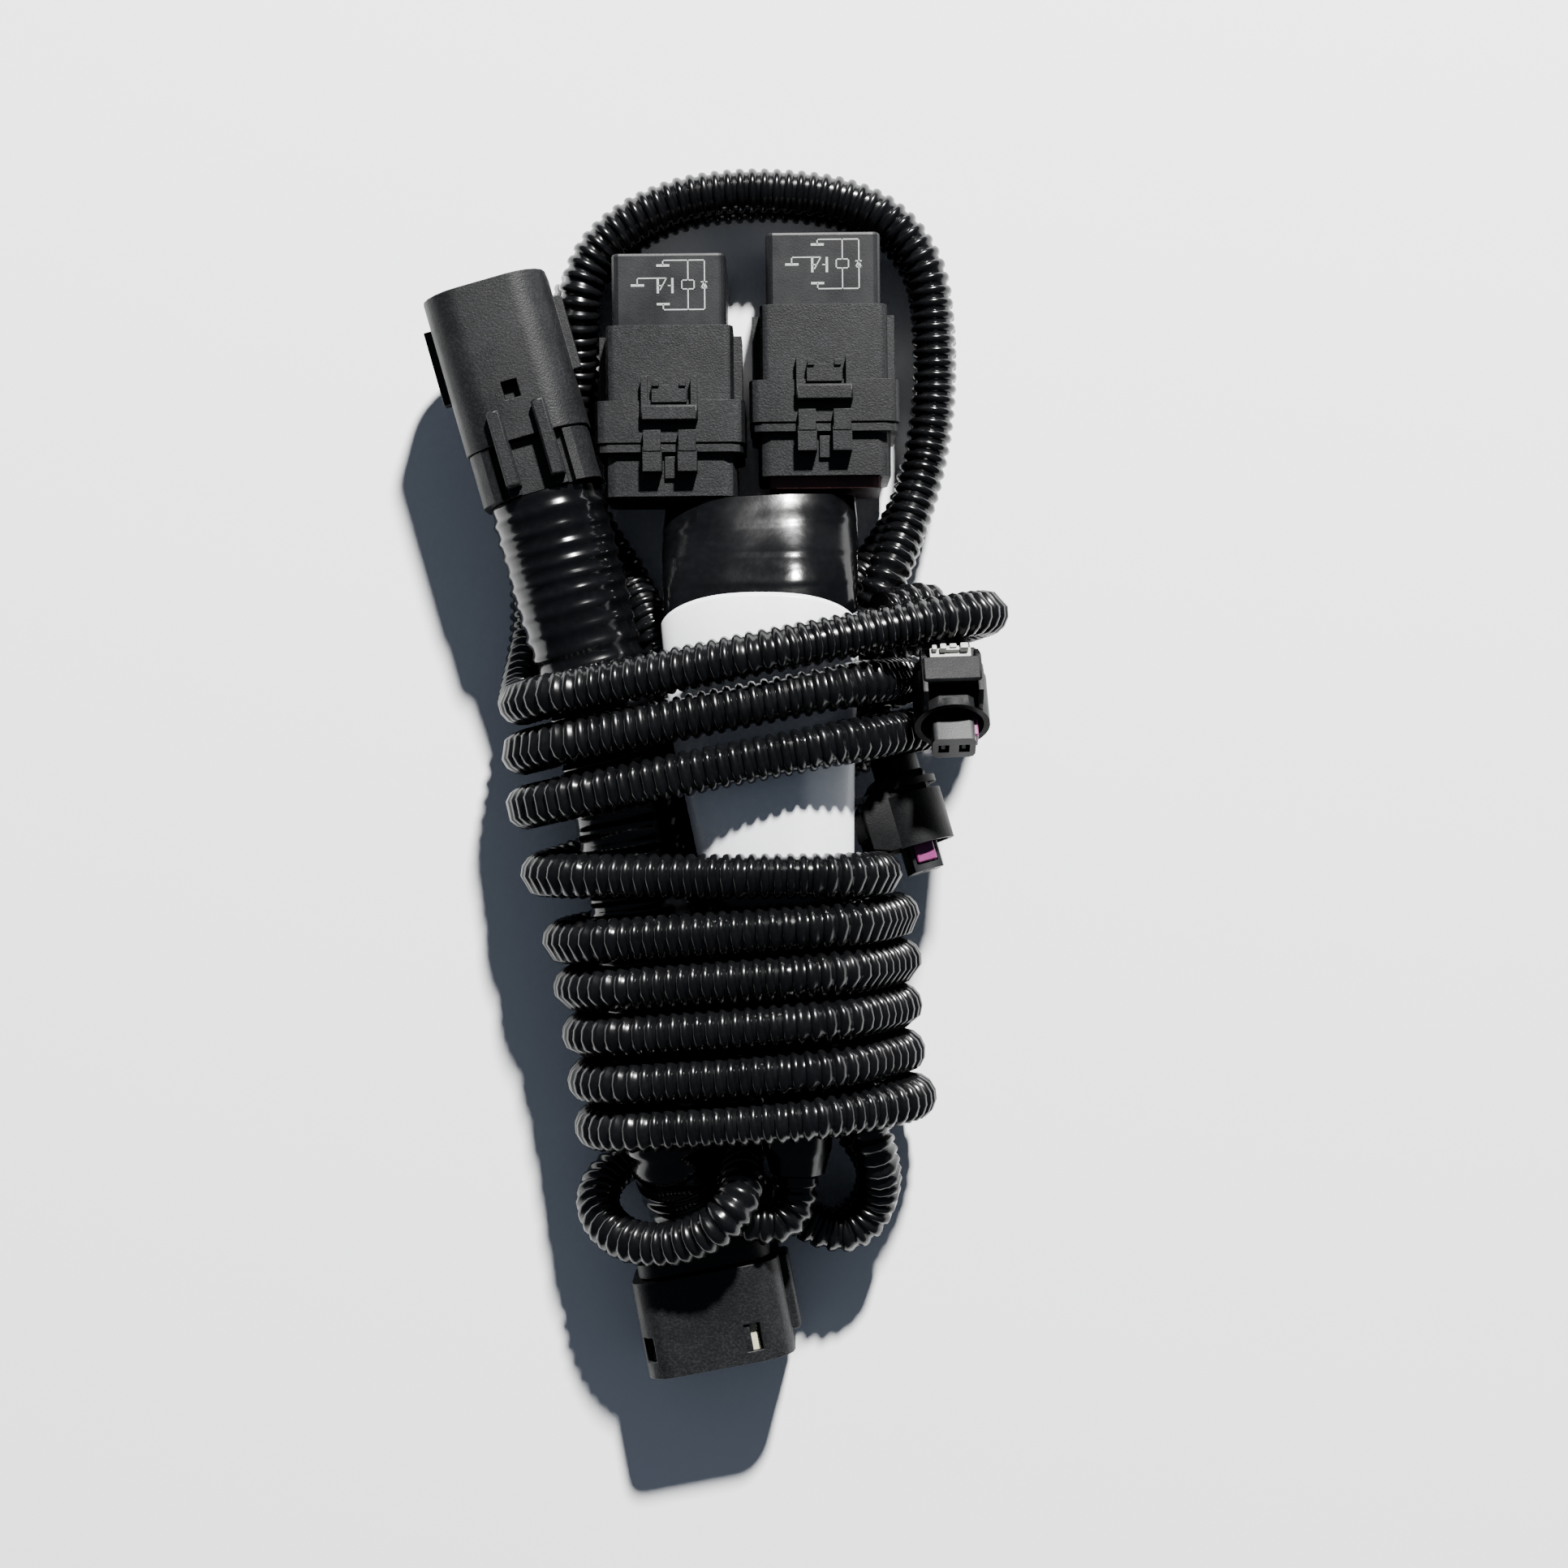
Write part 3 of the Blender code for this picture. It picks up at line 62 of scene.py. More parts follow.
def addObject(name, data):
    made = bpy.data.objects.new(name, data)
    bpy.context.scene.collection.objects.link(made)
    return made


def addCamera():
    view = bpy.data.cameras.new("camera")
    view.sensor_width = studio["sensor"]
    view.lens = studio["lens"]
    holder = addObject("camera", view)
    holder.location = (shift + Vector((0, 0, studio["height"]))) * mm
    bpy.context.scene.camera = holder


def addKeyLamp():
    lamp = bpy.data.lights.new("key", "AREA")
    lamp.shape = "DISK"
    lamp.size = keyLamp["size"]
    lamp.energy = keyLamp["power"]
    lamp.color = keyLamp["colour"]
    holder = addObject("key", lamp)
    holder.location = keyLamp["place"]
    holder.rotation_euler = (-Vector(keyLamp["place"])).to_track_quat("-Z", "Y").to_euler()


def addWorld():
    world = bpy.data.worlds.new("studio")
    world.use_nodes = True
    sky = world.node_tree.nodes["Background"]
    sky.inputs["Color"].default_value = (*studio["sky"], 1)
    sky.inputs["Strength"].default_value = studio["skyLevel"]
    bpy.context.scene.world = world


addCamera()
addKeyLamp()
addWorld()
print("camera and lights made")

pattern = {      # where each noise goes from low to high, and how the patterns are scaled
    "tones": (0.35, 0.68), "specks": (0.42, 0.72), "gloss": (0.30, 0.72),
    "smoother": 0.06, "rougher": 0.07, "speckScale": 0.6, "glossScale": 1.7,
    "waveScale": 150.0, "waveHeight": 0.5,
}


def grey(value):
    return (value, value, value, 1)


def noiseNode(tree, scale, detail=2.0, rough=0.5):
    place = tree.nodes.new("ShaderNodeTexCoord")
    made = tree.nodes.new("ShaderNodeTexNoise")
    made.inputs["Scale"].default_value = scale
    made.inputs["Detail"].default_value = detail
    made.inputs["Roughness"].default_value = rough
    tree.links.new(place.outputs["Object"], made.inputs["Vector"])
    return made.outputs["Fac"]


def rampNode(tree, source, positions, low, high):
    made = tree.nodes.new("ShaderNodeValToRGB")
    for element, position, colour in zip(made.color_ramp.elements, positions, (low, high)):
        element.position = position
        element.color = colour
    tree.links.new(source, made.inputs["Fac"])
    return made.outputs["Color"]


def bumpNode(tree, scale, strength, height):
    made = tree.nodes.new("ShaderNodeBump")
    made.inputs["Strength"].default_value = strength
    made.inputs["Distance"].default_value = height * mm
    tree.links.new(noiseNode(tree, scale), made.inputs["Height"])
    return made


def surface(name, dark, light, rough, grain=2400.0, depth=0.5, bumpSize=0.12, blotch=70.0,
            metallic=0.0, specular=0.5, speck=0.18, waves=0.0):
    # blotches of two tones, fine specks, uneven gloss, and a fine relief over slow waves
    made = bpy.data.materials.new(name)
    made.use_nodes = True
    tree = made.node_tree
    shader = tree.nodes["Principled BSDF"]
    shader.inputs["Metallic"].default_value = metallic
    shader.inputs["Specular IOR Level"].default_value = specular
    tones = rampNode(tree, noiseNode(tree, blotch, 4.0, 0.6), pattern["tones"],
                     (*dark, 1), (*light, 1))
    specks = rampNode(tree, noiseNode(tree, grain * pattern["speckScale"], 1.0),
                      pattern["specks"], grey(1 - speck), grey(1 + speck))
    mix = tree.nodes.new("ShaderNodeMix")
    mix.data_type = "RGBA"
    mix.blend_type = "MULTIPLY"
    mix.inputs["Factor"].default_value = 1.0
    tree.links.new(tones, mix.inputs["A"])
    tree.links.new(specks, mix.inputs["B"])
    tree.links.new(mix.outputs["Result"], shader.inputs["Base Color"])
    gloss = rampNode(tree, noiseNode(tree, blotch * pattern["glossScale"], 3.0, 0.55),
                     pattern["gloss"], grey(rough - pattern["smoother"]),
                     grey(rough + pattern["rougher"]))
    tree.links.new(gloss, shader.inputs["Roughness"])
    bump = bumpNode(tree, grain, depth, bumpSize)
    if waves:
        swell = bumpNode(tree, pattern["waveScale"], waves, pattern["waveHeight"])
        tree.links.new(swell.outputs["Normal"], bump.inputs["Normal"])
    tree.links.new(bump.outputs["Normal"], shader.inputs["Normal"])
    return made


finish = {
    "grained_black_plastic": surface(
        "grained black plastic", (0.0048, 0.0052, 0.0060), (0.0088, 0.0094, 0.0106), 0.50,
        grain=2600.0, depth=0.75, bumpSize=0.10, specular=0.26, speck=0.45),
    "relay_black_plastic": surface(
        "relay black plastic", (0.0050, 0.0055, 0.0064), (0.0075, 0.0081, 0.0092), 0.44,
        grain=3400.0, depth=0.35, bumpSize=0.08, specular=0.30, speck=0.20),
    "lamp_black_plastic": surface(
        "lamp black plastic", (0.0026, 0.0028, 0.0032), (0.0046, 0.0049, 0.0055), 0.50,
        grain=2600.0, depth=0.5, bumpSize=0.09, specular=0.14, speck=0.30),
    "loom_black_plastic": surface(
        "loom black plastic", (0.0018, 0.0019, 0.0022), (0.0034, 0.0036, 0.0041), 0.20,
        grain=1500.0, depth=0.10, bumpSize=0.10, blotch=120.0, specular=0.36),
    "black_tape": surface(
        "black tape", (0.0016, 0.0017, 0.0020), (0.0030, 0.0032, 0.0037), 0.16,
        grain=900.0, depth=0.14, bumpSize=0.10, blotch=45.0, specular=0.36, waves=0.16),
    "white_label": surface(
        "white label", (0.80, 0.82, 0.86), (0.86, 0.88, 0.91), 0.34,
        grain=900.0, depth=0.06, bumpSize=0.06, blotch=22.0, speck=0.02, waves=0.05),
    "grey_lock_plastic": surface(
        "grey lock plastic", (0.30, 0.305, 0.285), (0.35, 0.355, 0.335), 0.45,
        depth=0.35, speck=0.04),
    "magenta_plastic": surface(
        "magenta plastic", (0.11, 0.004, 0.065), (0.15, 0.007, 0.09), 0.40,
        depth=0.3, speck=0.06),
    # the seals' own red, made darker as painted shade: part of this darkness stands in for the
    # shadow the seals lie in
    "red_silicone": surface(
        "red silicone with painted shade", (0.030, 0.0015, 0.003), (0.055, 0.003, 0.005), 0.50,
        grain=1800.0, blotch=160.0),
    "ivory_plastic": surface(
        "ivory plastic", (0.44, 0.42, 0.30), (0.53, 0.51, 0.38), 0.44,
        grain=2200.0, depth=0.3, speck=0.05),
    "tinned_brass": surface(
        "tinned brass", (0.50, 0.46, 0.36), (0.62, 0.58, 0.48), 0.28,
        grain=1600.0, depth=0.2, metallic=1.0, speck=0.05),
    "pale_print": surface(
        "pale print", (0.26, 0.27, 0.27), (0.34, 0.35, 0.35), 0.6,
        grain=1500.0, depth=0.2, speck=0.08),
}
print("materials made")

sharpFrom = {"plastic": 40, "loom": 48, "label": 50, "tape": 60}      # degrees between two faces
rounding = {"segments": 2, "profile": 0.6}
lineStep = 0.8       # mm from point to point of a smooth line


def paintOf(name, slotName):
    # the small plugs' black plastic is darker than that of the large ones
    if name.startswith("lamp_") and slotName == "grained_black_plastic":
        slotName = "lamp_black_plastic"
    return finish[slotName]


def addPiece(name, mesh, slotName, body="harness", nodes=(), soft=None, paint=None):
    made = addObject(name, mesh)
    mesh.materials.clear()
    mesh.materials.append(paintOf(name, paint or slotName))
    if soft:
        mesh.shade_smooth()
        mesh.set_sharp_from_angle(angle=math.radians(sharpFrom[soft]))
    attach(made, body)
    if nodes:
        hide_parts(*nodes)
    return made


def toMesh(name, shape):
    mesh = bpy.data.meshes.new(name)
    shape.to_mesh(mesh)
    shape.free()
    return mesh


def meshOf(name, shape):
    bmesh.ops.recalc_face_normals(shape, faces=shape.faces)
    return toMesh(name, shape)


def plugFrame(rear, turn, pitch=0.0, roll=0.0):
    # +Y is the way the plug faces and +Z its latch side
    spin = Matrix.Rotation(math.radians(turn), 4, "Z")
    lift = Matrix.Rotation(math.radians(pitch), 4, "X")
    twist = Matrix.Rotation(math.radians(roll), 4, "Y")
    return Matrix.Translation((Vector(rear) + shift) * mm) @ spin @ lift @ twist


def joinRings(shape, rings):
    # side faces from ring to ring, and a face on each end
    for first, second in zip(rings, rings[1:]):
        for k in range(len(first)):
            j = (k + 1) % len(first)
            shape.faces.new((first[k], first[j], second[j], second[k]))
    shape.faces.new(list(reversed(rings[0])))
    shape.faces.new(rings[-1])


def addRounded(shape, part, at, edge):
    # round a part's edges, move it into place and add it to the shape
    bmesh.ops.bevel(part, geom=part.edges[:], offset=edge, affect="EDGES", **rounding)
    for vert in part.verts:
        vert.co = at @ (vert.co * mm)
    carrier = toMesh("carrier", part)
    shape.from_mesh(carrier)
    bpy.data.meshes.remove(carrier)


def addBlock(shape, at, low, high, edge, slant=(0.0, 0.0)):
    # a rounded box between two corners; slant moves its top along x and y
    block = bmesh.new()
    bmesh.ops.create_cube(block, size=1.0)
    centre = (Vector(low) + Vector(high)) / 2
    size = Vector(high) - Vector(low)
    for vert in block.verts:
        top = vert.co.z > 0
        vert.co = Vector((vert.co.x * size.x, vert.co.y * size.y, vert.co.z * size.z)) + centre
        if top:
            vert.co += Vector((*slant, 0))
    addRounded(shape, block, at, edge)


def smoothLine(points):
    # a centripetal Catmull-Rom curve through the points
    given = [Vector(p) for p in points]
    ends = [given[0] * 2 - given[1]] + given + [given[-1] * 2 - given[-2]]
    result = []
    for a, b, c, d in zip(ends, ends[1:], ends[2:], ends[3:]):
        t1 = max((b - a).length, 1e-6) ** 0.5
        t2 = t1 + max((c - b).length, 1e-6) ** 0.5
        t3 = t2 + max((d - c).length, 1e-6) ** 0.5
        count = max(2, round((c - b).length / lineStep))
        for index in range(count):
            t = t1 + (t2 - t1) * index / count
            p1 = a * ((t1 - t) / t1) + b * (t / t1)
            p2 = b * ((t2 - t) / (t2 - t1)) + c * ((t - t1) / (t2 - t1))
            p3 = c * ((t3 - t) / (t3 - t2)) + d * ((t - t2) / (t3 - t2))
            q1 = p1 * ((t2 - t) / t2) + p2 * (t / t2)
            q2 = p2 * ((t3 - t) / (t3 - t1)) + p3 * ((t - t1) / (t3 - t1))
            result.append(q1 * ((t2 - t) / (t2 - t1)) + q2 * ((t - t1) / (t2 - t1)))
    return result + [given[-1]]


def lengthsOf(line):
    total = [0.0]
    for a, b in zip(line, line[1:]):
        total.append(total[-1] + (b - a).length)
    return total


def framesAlong(line, wanted):
    # place, side and up at each wanted length, with no twist from one to the next
    total = lengthsOf(line)
    spots, index = [], 0
    for want in wanted:
        while index < len(line) - 2 and total[index + 1] < want:
            index += 1
        span = max(total[index + 1] - total[index], 1e-9)
        share = min(max((want - total[index]) / span, 0), 1)
        spots.append(line[index].lerp(line[index + 1], share))
    result = []
    up = None
    for i, spot in enumerate(spots):
        ahead = (spots[min(i + 1, len(spots) - 1)] - spots[max(i - 1, 0)]).normalized()
        if up is None:
            up = Vector((0, 0, 1)) if abs(ahead.z) < 0.9 else Vector((0, 1, 0))
        up = (up - ahead * up.dot(ahead)).normalized()
        result.append((spot, ahead.cross(up), up))
    return result


def tubeFrom(name, frames, radiusAt, sides):
    # a closed tube; radiusAt(index, angle) gives its radius round each frame
    shape = bmesh.new()
    rings = []
    for i, (spot, side, up) in enumerate(frames):
        ring = []
        for k in range(sides):
            angle = 2 * math.pi * k / sides
            radius = radiusAt(i, angle)
            place = spot + side * (radius * math.cos(angle)) + up * (radius * math.sin(angle))
            ring.append(shape.verts.new(place * mm))
        rings.append(ring)
    joinRings(shape, rings)
    return meshOf(name, shape)


# Split conduit: each ridge is a round crest with a narrow valley before it, and a slit runs along
loom = {
    "diameter": 10.0, "crest": 5.22, "shoulder": 5.0, "valley": 4.35, "pitch": 2.8, "sides": 14,
    "slit": 0.55, "end": 0.1, "pathStep": 4,
    "steps": ((0.04, "valley"), (0.30, "valley"), (0.40, "shoulder"), (0.62, "crest"),
              (0.86, "shoulder")),
}
longRoute = (
    (7.6, -99.8, 5.2), (12.7, -101.4, 5.2), (21.9, -107.4, 5.2), (26.8, -108.8, 5.2),
    (31.5, -107.5, 5.2), (35.1, -103.9, 5.3), (37.3, -99.3, 6.3), (37.7, -94.5, 8.7),
    (36.3, -90.1, 12.1), (33.6, -85.7, 14.7), (25.2, -73.6, 15.6), (21.2, -59.2, 15.8),
    (20.0, -47.2, 15.8), (19.8, -35.1, 15.9), (19.8, -23.0, 15.9), (20.2, -11.0, 15.9),
    (20.3, 1.1, 15.9), (20.3, 13.1, 15.8), (22.5, 27.9, 15.8), (28.2, 38.3, 15.4),
    (37.4, 49.6, 12.0), (44.8, 61.6, 7.4), (49.2, 75.8, 5.4), (51.2, 90.6, 5.2),
    (51.2, 105.6, 5.2), (49.0, 117.3, 5.2), (44.5, 125.0, 5.2), (40.2, 129.0, 5.2),
    (32.1, 132.9, 5.2), (20.3, 135.2, 5.2), (8.2, 135.6, 5.2), (-3.9, 134.5, 5.2),
    (-15.4, 130.9, 5.2), (-25.4, 124.2, 5.2), (-33.1, 115.0, 5.2), (-39.0, 104.5, 5.2),
    (-43.6, 93.3, 5.2), (-45.4, 81.3, 5.3), (-45.6, 69.2, 5.3), (-45.2, 57.0, 5.3),
    (-44.6, 45.0, 5.3), (-44.5, 33.1, 6.6), (-44.9, 27.7, 9.0), (-45.5, 21.0, 14.7),
    (-45.5, 17.5, 19.4), (-45.1, 15.6, 24.8), (-43.7, 15.5, 30.4), (-40.9, 16.0, 35.5),
    (-36.6, 16.8, 39.5), (-22.7, 19.4, 43.9), (-11.1, 21.6, 46.5), (0.4, 23.8, 49.1),
    (12.1, 26.1, 50.6), (23.8, 28.5, 48.3), (35.5, 30.9, 45.6), (47.4, 33.4, 42.8),
    (53.0, 34.4, 40.6), (57.8, 35.3, 37.0), (61.0, 35.8, 32.0), (62.0, 36.0, 26.2),
    (60.7, 35.6, 20.5), (57.5, 34.7, 15.4), (52.9, 33.4, 11.7), (41.4, 30.4, 8.4),
    (29.7, 26.9, 6.3), (18.2, 23.3, 5.2), (6.6, 19.7, 5.2), (-5.0, 16.1, 5.2), (-16.5, 12.6, 5.3),
    (-30.8, 8.3, 5.8), (-36.1, 6.7, 7.6), (-40.5, 5.3, 11.2), (-43.5, 4.5, 16.1),
    (-44.6, 4.1, 21.9), (-43.7, 4.2, 27.6), (-40.9, 4.8, 32.7), (-34.5, 6.1, 38.7),
    (-20.7, 8.8, 43.2), (-9.1, 11.1, 45.6), (5.5, 14.0, 47.2), (17.3, 16.3, 47.1),
    (26.1, 18.0, 46.3), (31.3, 19.0, 43.9), (35.5, 19.8, 39.7), (40.4, 20.7, 28.7),
    (43.6, 21.1, 20.2), (43.7, 20.7, 14.4), (41.1, 19.6, 9.8), (36.4, 18.0, 7.7),
    (22.3, 13.4, 5.3), (10.8, 9.7, 5.2), (-0.6, 5.9, 5.2), (-12.0, 2.2, 5.3), (-23.4, -1.7, 5.3),
    (-31.8, -4.5, 6.2), (-36.9, -6.2, 8.7), (-40.8, -7.5, 12.7), (-43.1, -8.3, 18.0),
    (-43.5, -8.5, 23.9), (-41.9, -8.1, 29.5), (-38.6, -7.4, 34.2), (-31.3, -5.9, 39.0),
    (-17.3, -3.1, 43.2), (-5.8, -0.7, 45.7), (8.9, 2.2, 47.1), (20.7, 4.5, 46.8),
    (26.4, 5.7, 45.7), (31.6, 6.6, 42.9), (40.2, 8.2, 34.1), (48.3, 9.9, 25.0), (49.5, 10.3, 19.4),
    (48.1, 9.8, 14.1), (43.9, 8.2, 11.0), (32.9, 4.1, 8.2), (22.0, 0.0, 5.4), (10.7, -4.2, 5.2),
    (-0.6, -8.6, 5.3), (-11.9, -12.9, 5.3), (-23.1, -17.2, 5.3), (-28.6, -19.3, 6.0),
    (-33.6, -21.3, 8.3), (-37.5, -22.8, 12.4), (-39.8, -23.6, 17.7), (-40.1, -23.9, 23.5),
    (-38.6, -23.9, 29.1), (-35.3, -23.9, 33.9), (-30.5, -23.9, 37.4), (-16.4, -23.8, 42.1),
    (-4.6, -23.7, 44.7), (7.2, -23.6, 46.9), (19.2, -23.5, 47.3), (25.1, -23.5, 46.8),
    (30.5, -23.4, 44.7), (34.6, -23.4, 40.9), (36.9, -23.4, 36.0), (37.1, -23.6, 30.7),
    (33.2, -24.7, 18.0), (28.3, -25.6, 9.7), (29.7, -25.1, 6.7), (25.2, -26.0, 5.4),
    (10.8, -29.2, 5.2), (-2.9, -32.2, 5.3), (-17.0, -35.3, 5.3), (-25.3, -37.1, 6.3),
    (-30.2, -38.2, 9.1), (-33.6, -38.9, 13.7), (-35.1, -39.3, 19.3), (-34.8, -39.3, 25.1),
    (-32.7, -39.1, 30.6), (-29.0, -38.8, 35.2), (-24.2, -38.4, 38.6), (-9.9, -37.2, 42.7),
    (1.8, -36.3, 45.2), (16.7, -35.2, 46.6), (25.6, -34.6, 45.6), (30.8, -34.3, 42.9),
    (34.7, -34.1, 38.6), (41.0, -33.6, 25.0), (41.9, -33.4, 19.2), (40.9, -33.5, 13.5),
    (38.0, -34.1, 8.6), (33.1, -35.1, 5.9), (18.6, -38.3, 5.2), (6.8, -40.9, 5.3),
    (-4.9, -43.5, 5.3), (-16.6, -46.1, 5.4), (-22.3, -47.4, 6.5), (-27.2, -48.6, 9.4),
    (-30.8, -49.5, 13.9), (-32.5, -50.0, 19.4), (-32.3, -50.0, 25.3), (-30.3, -49.9, 30.8),
    (-26.7, -49.6, 35.4), (-21.9, -49.2, 38.7), (-7.5, -47.9, 42.6), (4.2, -46.9, 45.1),
    (19.0, -45.8, 46.3), (24.8, -45.3, 45.4), (30.0, -44.9, 42.7), (38.5, -44.4, 30.7),
    (42.1, -44.0, 22.6), (42.3, -44.0, 16.8), (40.3, -44.3, 11.3), (36.4, -45.2, 7.3),
    (31.0, -46.3, 5.6), (16.4, -49.5, 5.2), (4.7, -52.1, 5.3), (-9.9, -55.3, 5.3),
    (-18.6, -57.4, 6.1), (-23.8, -58.7, 8.4), (-27.8, -59.8, 12.6), (-30.1, -60.4, 17.9),
    (-30.5, -60.6, 23.7), (-29.2, -60.6, 29.4), (-26.1, -60.3, 34.4), (-21.4, -59.9, 37.9),
    (-7.1, -58.7, 41.9), (4.6, -57.7, 44.3), (19.5, -56.4, 45.8), (25.2, -55.9, 44.7),
    (30.3, -55.5, 41.7), (39.0, -54.9, 29.6), (41.7, -54.6, 24.3), (42.7, -54.5, 18.6),
    (41.4, -54.8, 13.0), (37.9, -55.6, 8.6), (32.8, -56.7, 6.1), (18.2, -60.0, 5.2),
    (6.5, -62.6, 5.2), (-5.3, -65.1, 5.3), (-16.9, -67.8, 6.1), (-22.1, -69.2, 8.4),
    (-26.1, -70.3, 12.5), (-28.6, -71.0, 17.8), (-29.2, -71.3, 23.6), (-27.8, -71.3, 29.3),
    (-24.6, -71.1, 34.2), (-20.0, -70.7, 37.8), (-5.6, -69.4, 41.5), (6.2, -68.4, 43.6),
    (18.1, -67.3, 45.0), (23.9, -66.8, 44.2), (29.1, -66.3, 41.5), (38.9, -65.4, 30.3),
    (42.1, -65.2, 25.3), (43.4, -65.0, 19.7), (42.3, -65.3, 14.0), (39.0, -66.1, 9.3),
    (34.1, -67.2, 6.4), (19.7, -70.5, 5.2), (7.9, -73.1, 5.2), (-3.9, -75.5, 5.3),
    (-15.6, -78.2, 6.1), (-20.8, -79.7, 8.3), (-24.8, -80.9, 12.4), (-27.2, -81.6, 17.6),
    (-27.6, -81.9, 23.5), (-26.2, -81.9, 29.2), (-22.9, -81.7, 34.0), (-18.1, -81.3, 37.5),
    (-6.5, -80.3, 40.5), (5.4, -79.2, 42.4), (17.5, -78.1, 44.0), (23.4, -77.5, 43.6),
    (34.1, -76.4, 38.2), (41.3, -75.7, 32.8), (44.4, -75.4, 27.8), (45.8, -75.3, 22.0),
    (45.3, -75.5, 16.0), (42.6, -76.2, 10.8), (38.0, -77.2, 7.2), (32.4, -78.5, 5.5),
    (20.6, -81.1, 5.2), (8.7, -83.7, 5.2), (-3.3, -86.1, 5.2), (-12.2, -88.0, 5.0),
    (-20.3, -92.0, 5.8), (-24.8, -94.9, 8.0), (-27.5, -98.0, 12.0), (-27.8, -101.4, 16.8),
    (-25.8, -104.5, 21.5), (-22.3, -106.8, 25.7), (-17.7, -108.0, 29.2), (-10.0, -107.6, 33.2),
    (-2.6, -104.6, 36.5), (1.7, -101.4, 37.9), (4.9, -97.4, 37.1), (6.1, -93.9, 33.4),
    (5.8, -90.3, 25.3), (6.3, -86.9, 20.4), (5.4, -82.3, 17.1), (4.3, -76.7, 15.8),
    (2.7, -64.8, 15.9), (1.3, -52.8, 15.9), (-0.1, -40.8, 15.8), (-1.7, -28.9, 15.8),
    (-3.6, -17.1, 15.8), (-6.0, -5.3, 15.8), (-8.4, 6.4, 15.8), (-11.7, 21.1, 15.8),
    (-15.1, 32.4, 14.7), (-21.2, 45.0, 9.4), (-29.0, 57.2, 5.9), (-32.5, 65.3, 5.4),
    (-34.3, 80.2, 6.0), (-33.1, 94.5, 9.8), (-32.6, 105.7, 14.7), (-32.0, 111.5, 16.0),
    (-30.3, 117.3, 16.2), (-27.2, 122.4, 16.2), (-20.3, 128.4, 16.1), (-9.3, 133.4, 15.9),
    (2.8, 135.4, 15.9), (15.0, 135.5, 15.8), (27.0, 134.1, 15.8), (35.6, 131.3, 15.8),
    (40.6, 128.1, 15.8), (44.7, 123.8, 15.8), (48.8, 115.9, 15.8), (50.6, 101.1, 15.8),
    (50.6, 86.2, 15.7), (48.4, 71.4, 16.4), (44.3, 57.5, 19.3), (39.2, 44.4, 23.4),
    (37.2, 39.0, 23.3), (33.3, 25.8, 18.5), (33.4, 20.2, 17.6), (35.3, 14.8, 18.4),
    (40.4, 4.4, 20.9),
)
feedRoute = (
    (9.8, -100.9, 18.0), (15.2, -102.0, 17.6), (25.4, -106.8, 17.1), (30.6, -107.2, 17.0),
    (34.8, -104.5, 17.2), (37.2, -99.8, 18.5), (37.9, -95.1, 21.3), (37.3, -90.5, 24.6),
    (36.0, -85.4, 26.5), (34.7, -80.0, 25.9), (32.8, -67.2, 19.9), (31.7, -53.9, 17.0),
    (31.1, -40.6, 16.8), (30.7, -35.4, 16.8),
)
linkRoute = (
    (3.8, -102.4, 27.5), (9.6, -103.6, 28.6), (15.1, -102.9, 28.3), (18.2, -98.6, 28.0),
    (18.8, -92.8, 28.0),
)
leadRoute = (
    (37.8, 35.5, 34.7), (46.0, 37.8, 29.5), (49.7, 37.1, 27.0), (51.9, 33.5, 26.8),
    (52.6, 28.7, 29.5),
)


def ridgedLoom(name, route, nodes):
    line = smoothLine(route)
    whole = lengthsOf(line)[-1]
    wanted, levels = [0.0], ["shoulder"]
    for ridge in range(int(whole / loom["pitch"])):
        for part, level in loom["steps"]:
            wanted.append((ridge + part) * loom["pitch"] + loom["end"])
            levels.append(level)
    wanted.append(whole)
    levels.append("shoulder")

    def radiusAt(i, angle):
        return loom[levels[i]] - (loom["slit"] if angle == 0 else 0.0)

    mesh = tubeFrom(name, framesAlong(line, wanted), radiusAt, loom["sides"])
    made = addPiece(name, mesh, "loom_black_plastic", nodes=nodes, soft="loom")
    path = [p * mm for p in line[::loom["pathStep"]]] + [line[-1] * mm]
    return made, path, whole


longPiece, longPath, longLength = ridgedLoom("ridged_long_loom", longRoute, ["long_loom"])
feedPiece, feedPath, feedLength = ridgedLoom("ridged_feed_loom", feedRoute, ["feed_loom"])
ridgedLoom("ridged_link_loom", linkRoute, ["link_loom"])
ridgedLoom("ridged_lamp_lead", leadRoute, ["lamp_1_lead"])
print("looms made, the long one", round(longLength), "mm")

# Taped trunk between the large plugs: x, y, z and radius along it, and the conduit's ridges
trunkOne = {
    "stations": (
        (-54.89, 65.8, 26.0, 13.1), (-53.7, 61.6, 26.0, 13.2), (-49.6, 46.0, 25.0, 13.2),
        (-44.0, 25.5, 23.7, 12.4), (-38.6, 3.0, 23.3, 12.2), (-33.9, -21.4, 23.1, 12.0),
        (-30.2, -47.6, 22.8, 11.6), (-27.0, -73.9, 22.4, 11.3), (-25.2, -86.0, 21.0, 10.8),
        (-23.4, -92.5, 17.9, 10.5), (-21.3, -98.0, 15.2, 10.4), (-20.55, -101.0, 14.0, 10.4),
        (-20.08, -103.3, 13.55, 10.3), (-19.7, -105.3, 13.5, 10.3),
    ),
    "inset": 0.55, "ring": 0.55, "sides": 72, "startFade": 3.0, "endFade": 8.0,
    "ridgePitch": 3.9, "ridgeDepth": 0.70, "ridgePower": 1.5, "drift": 0.5, "driftLength": 16.0,
    "tapePitch": 11.0, "tapeStep": 0.14, "lumps": 0.07, "lumpScale": 2.2,
    "around": 1.3, "along": 10.0,
    "tightness": 0.80, "slack": 0.4, "slackScale": 0.5,      # how the tape lies on the ridges
}
tapeRise = 0.94      # the share of a tape's turn before it drops over its edge


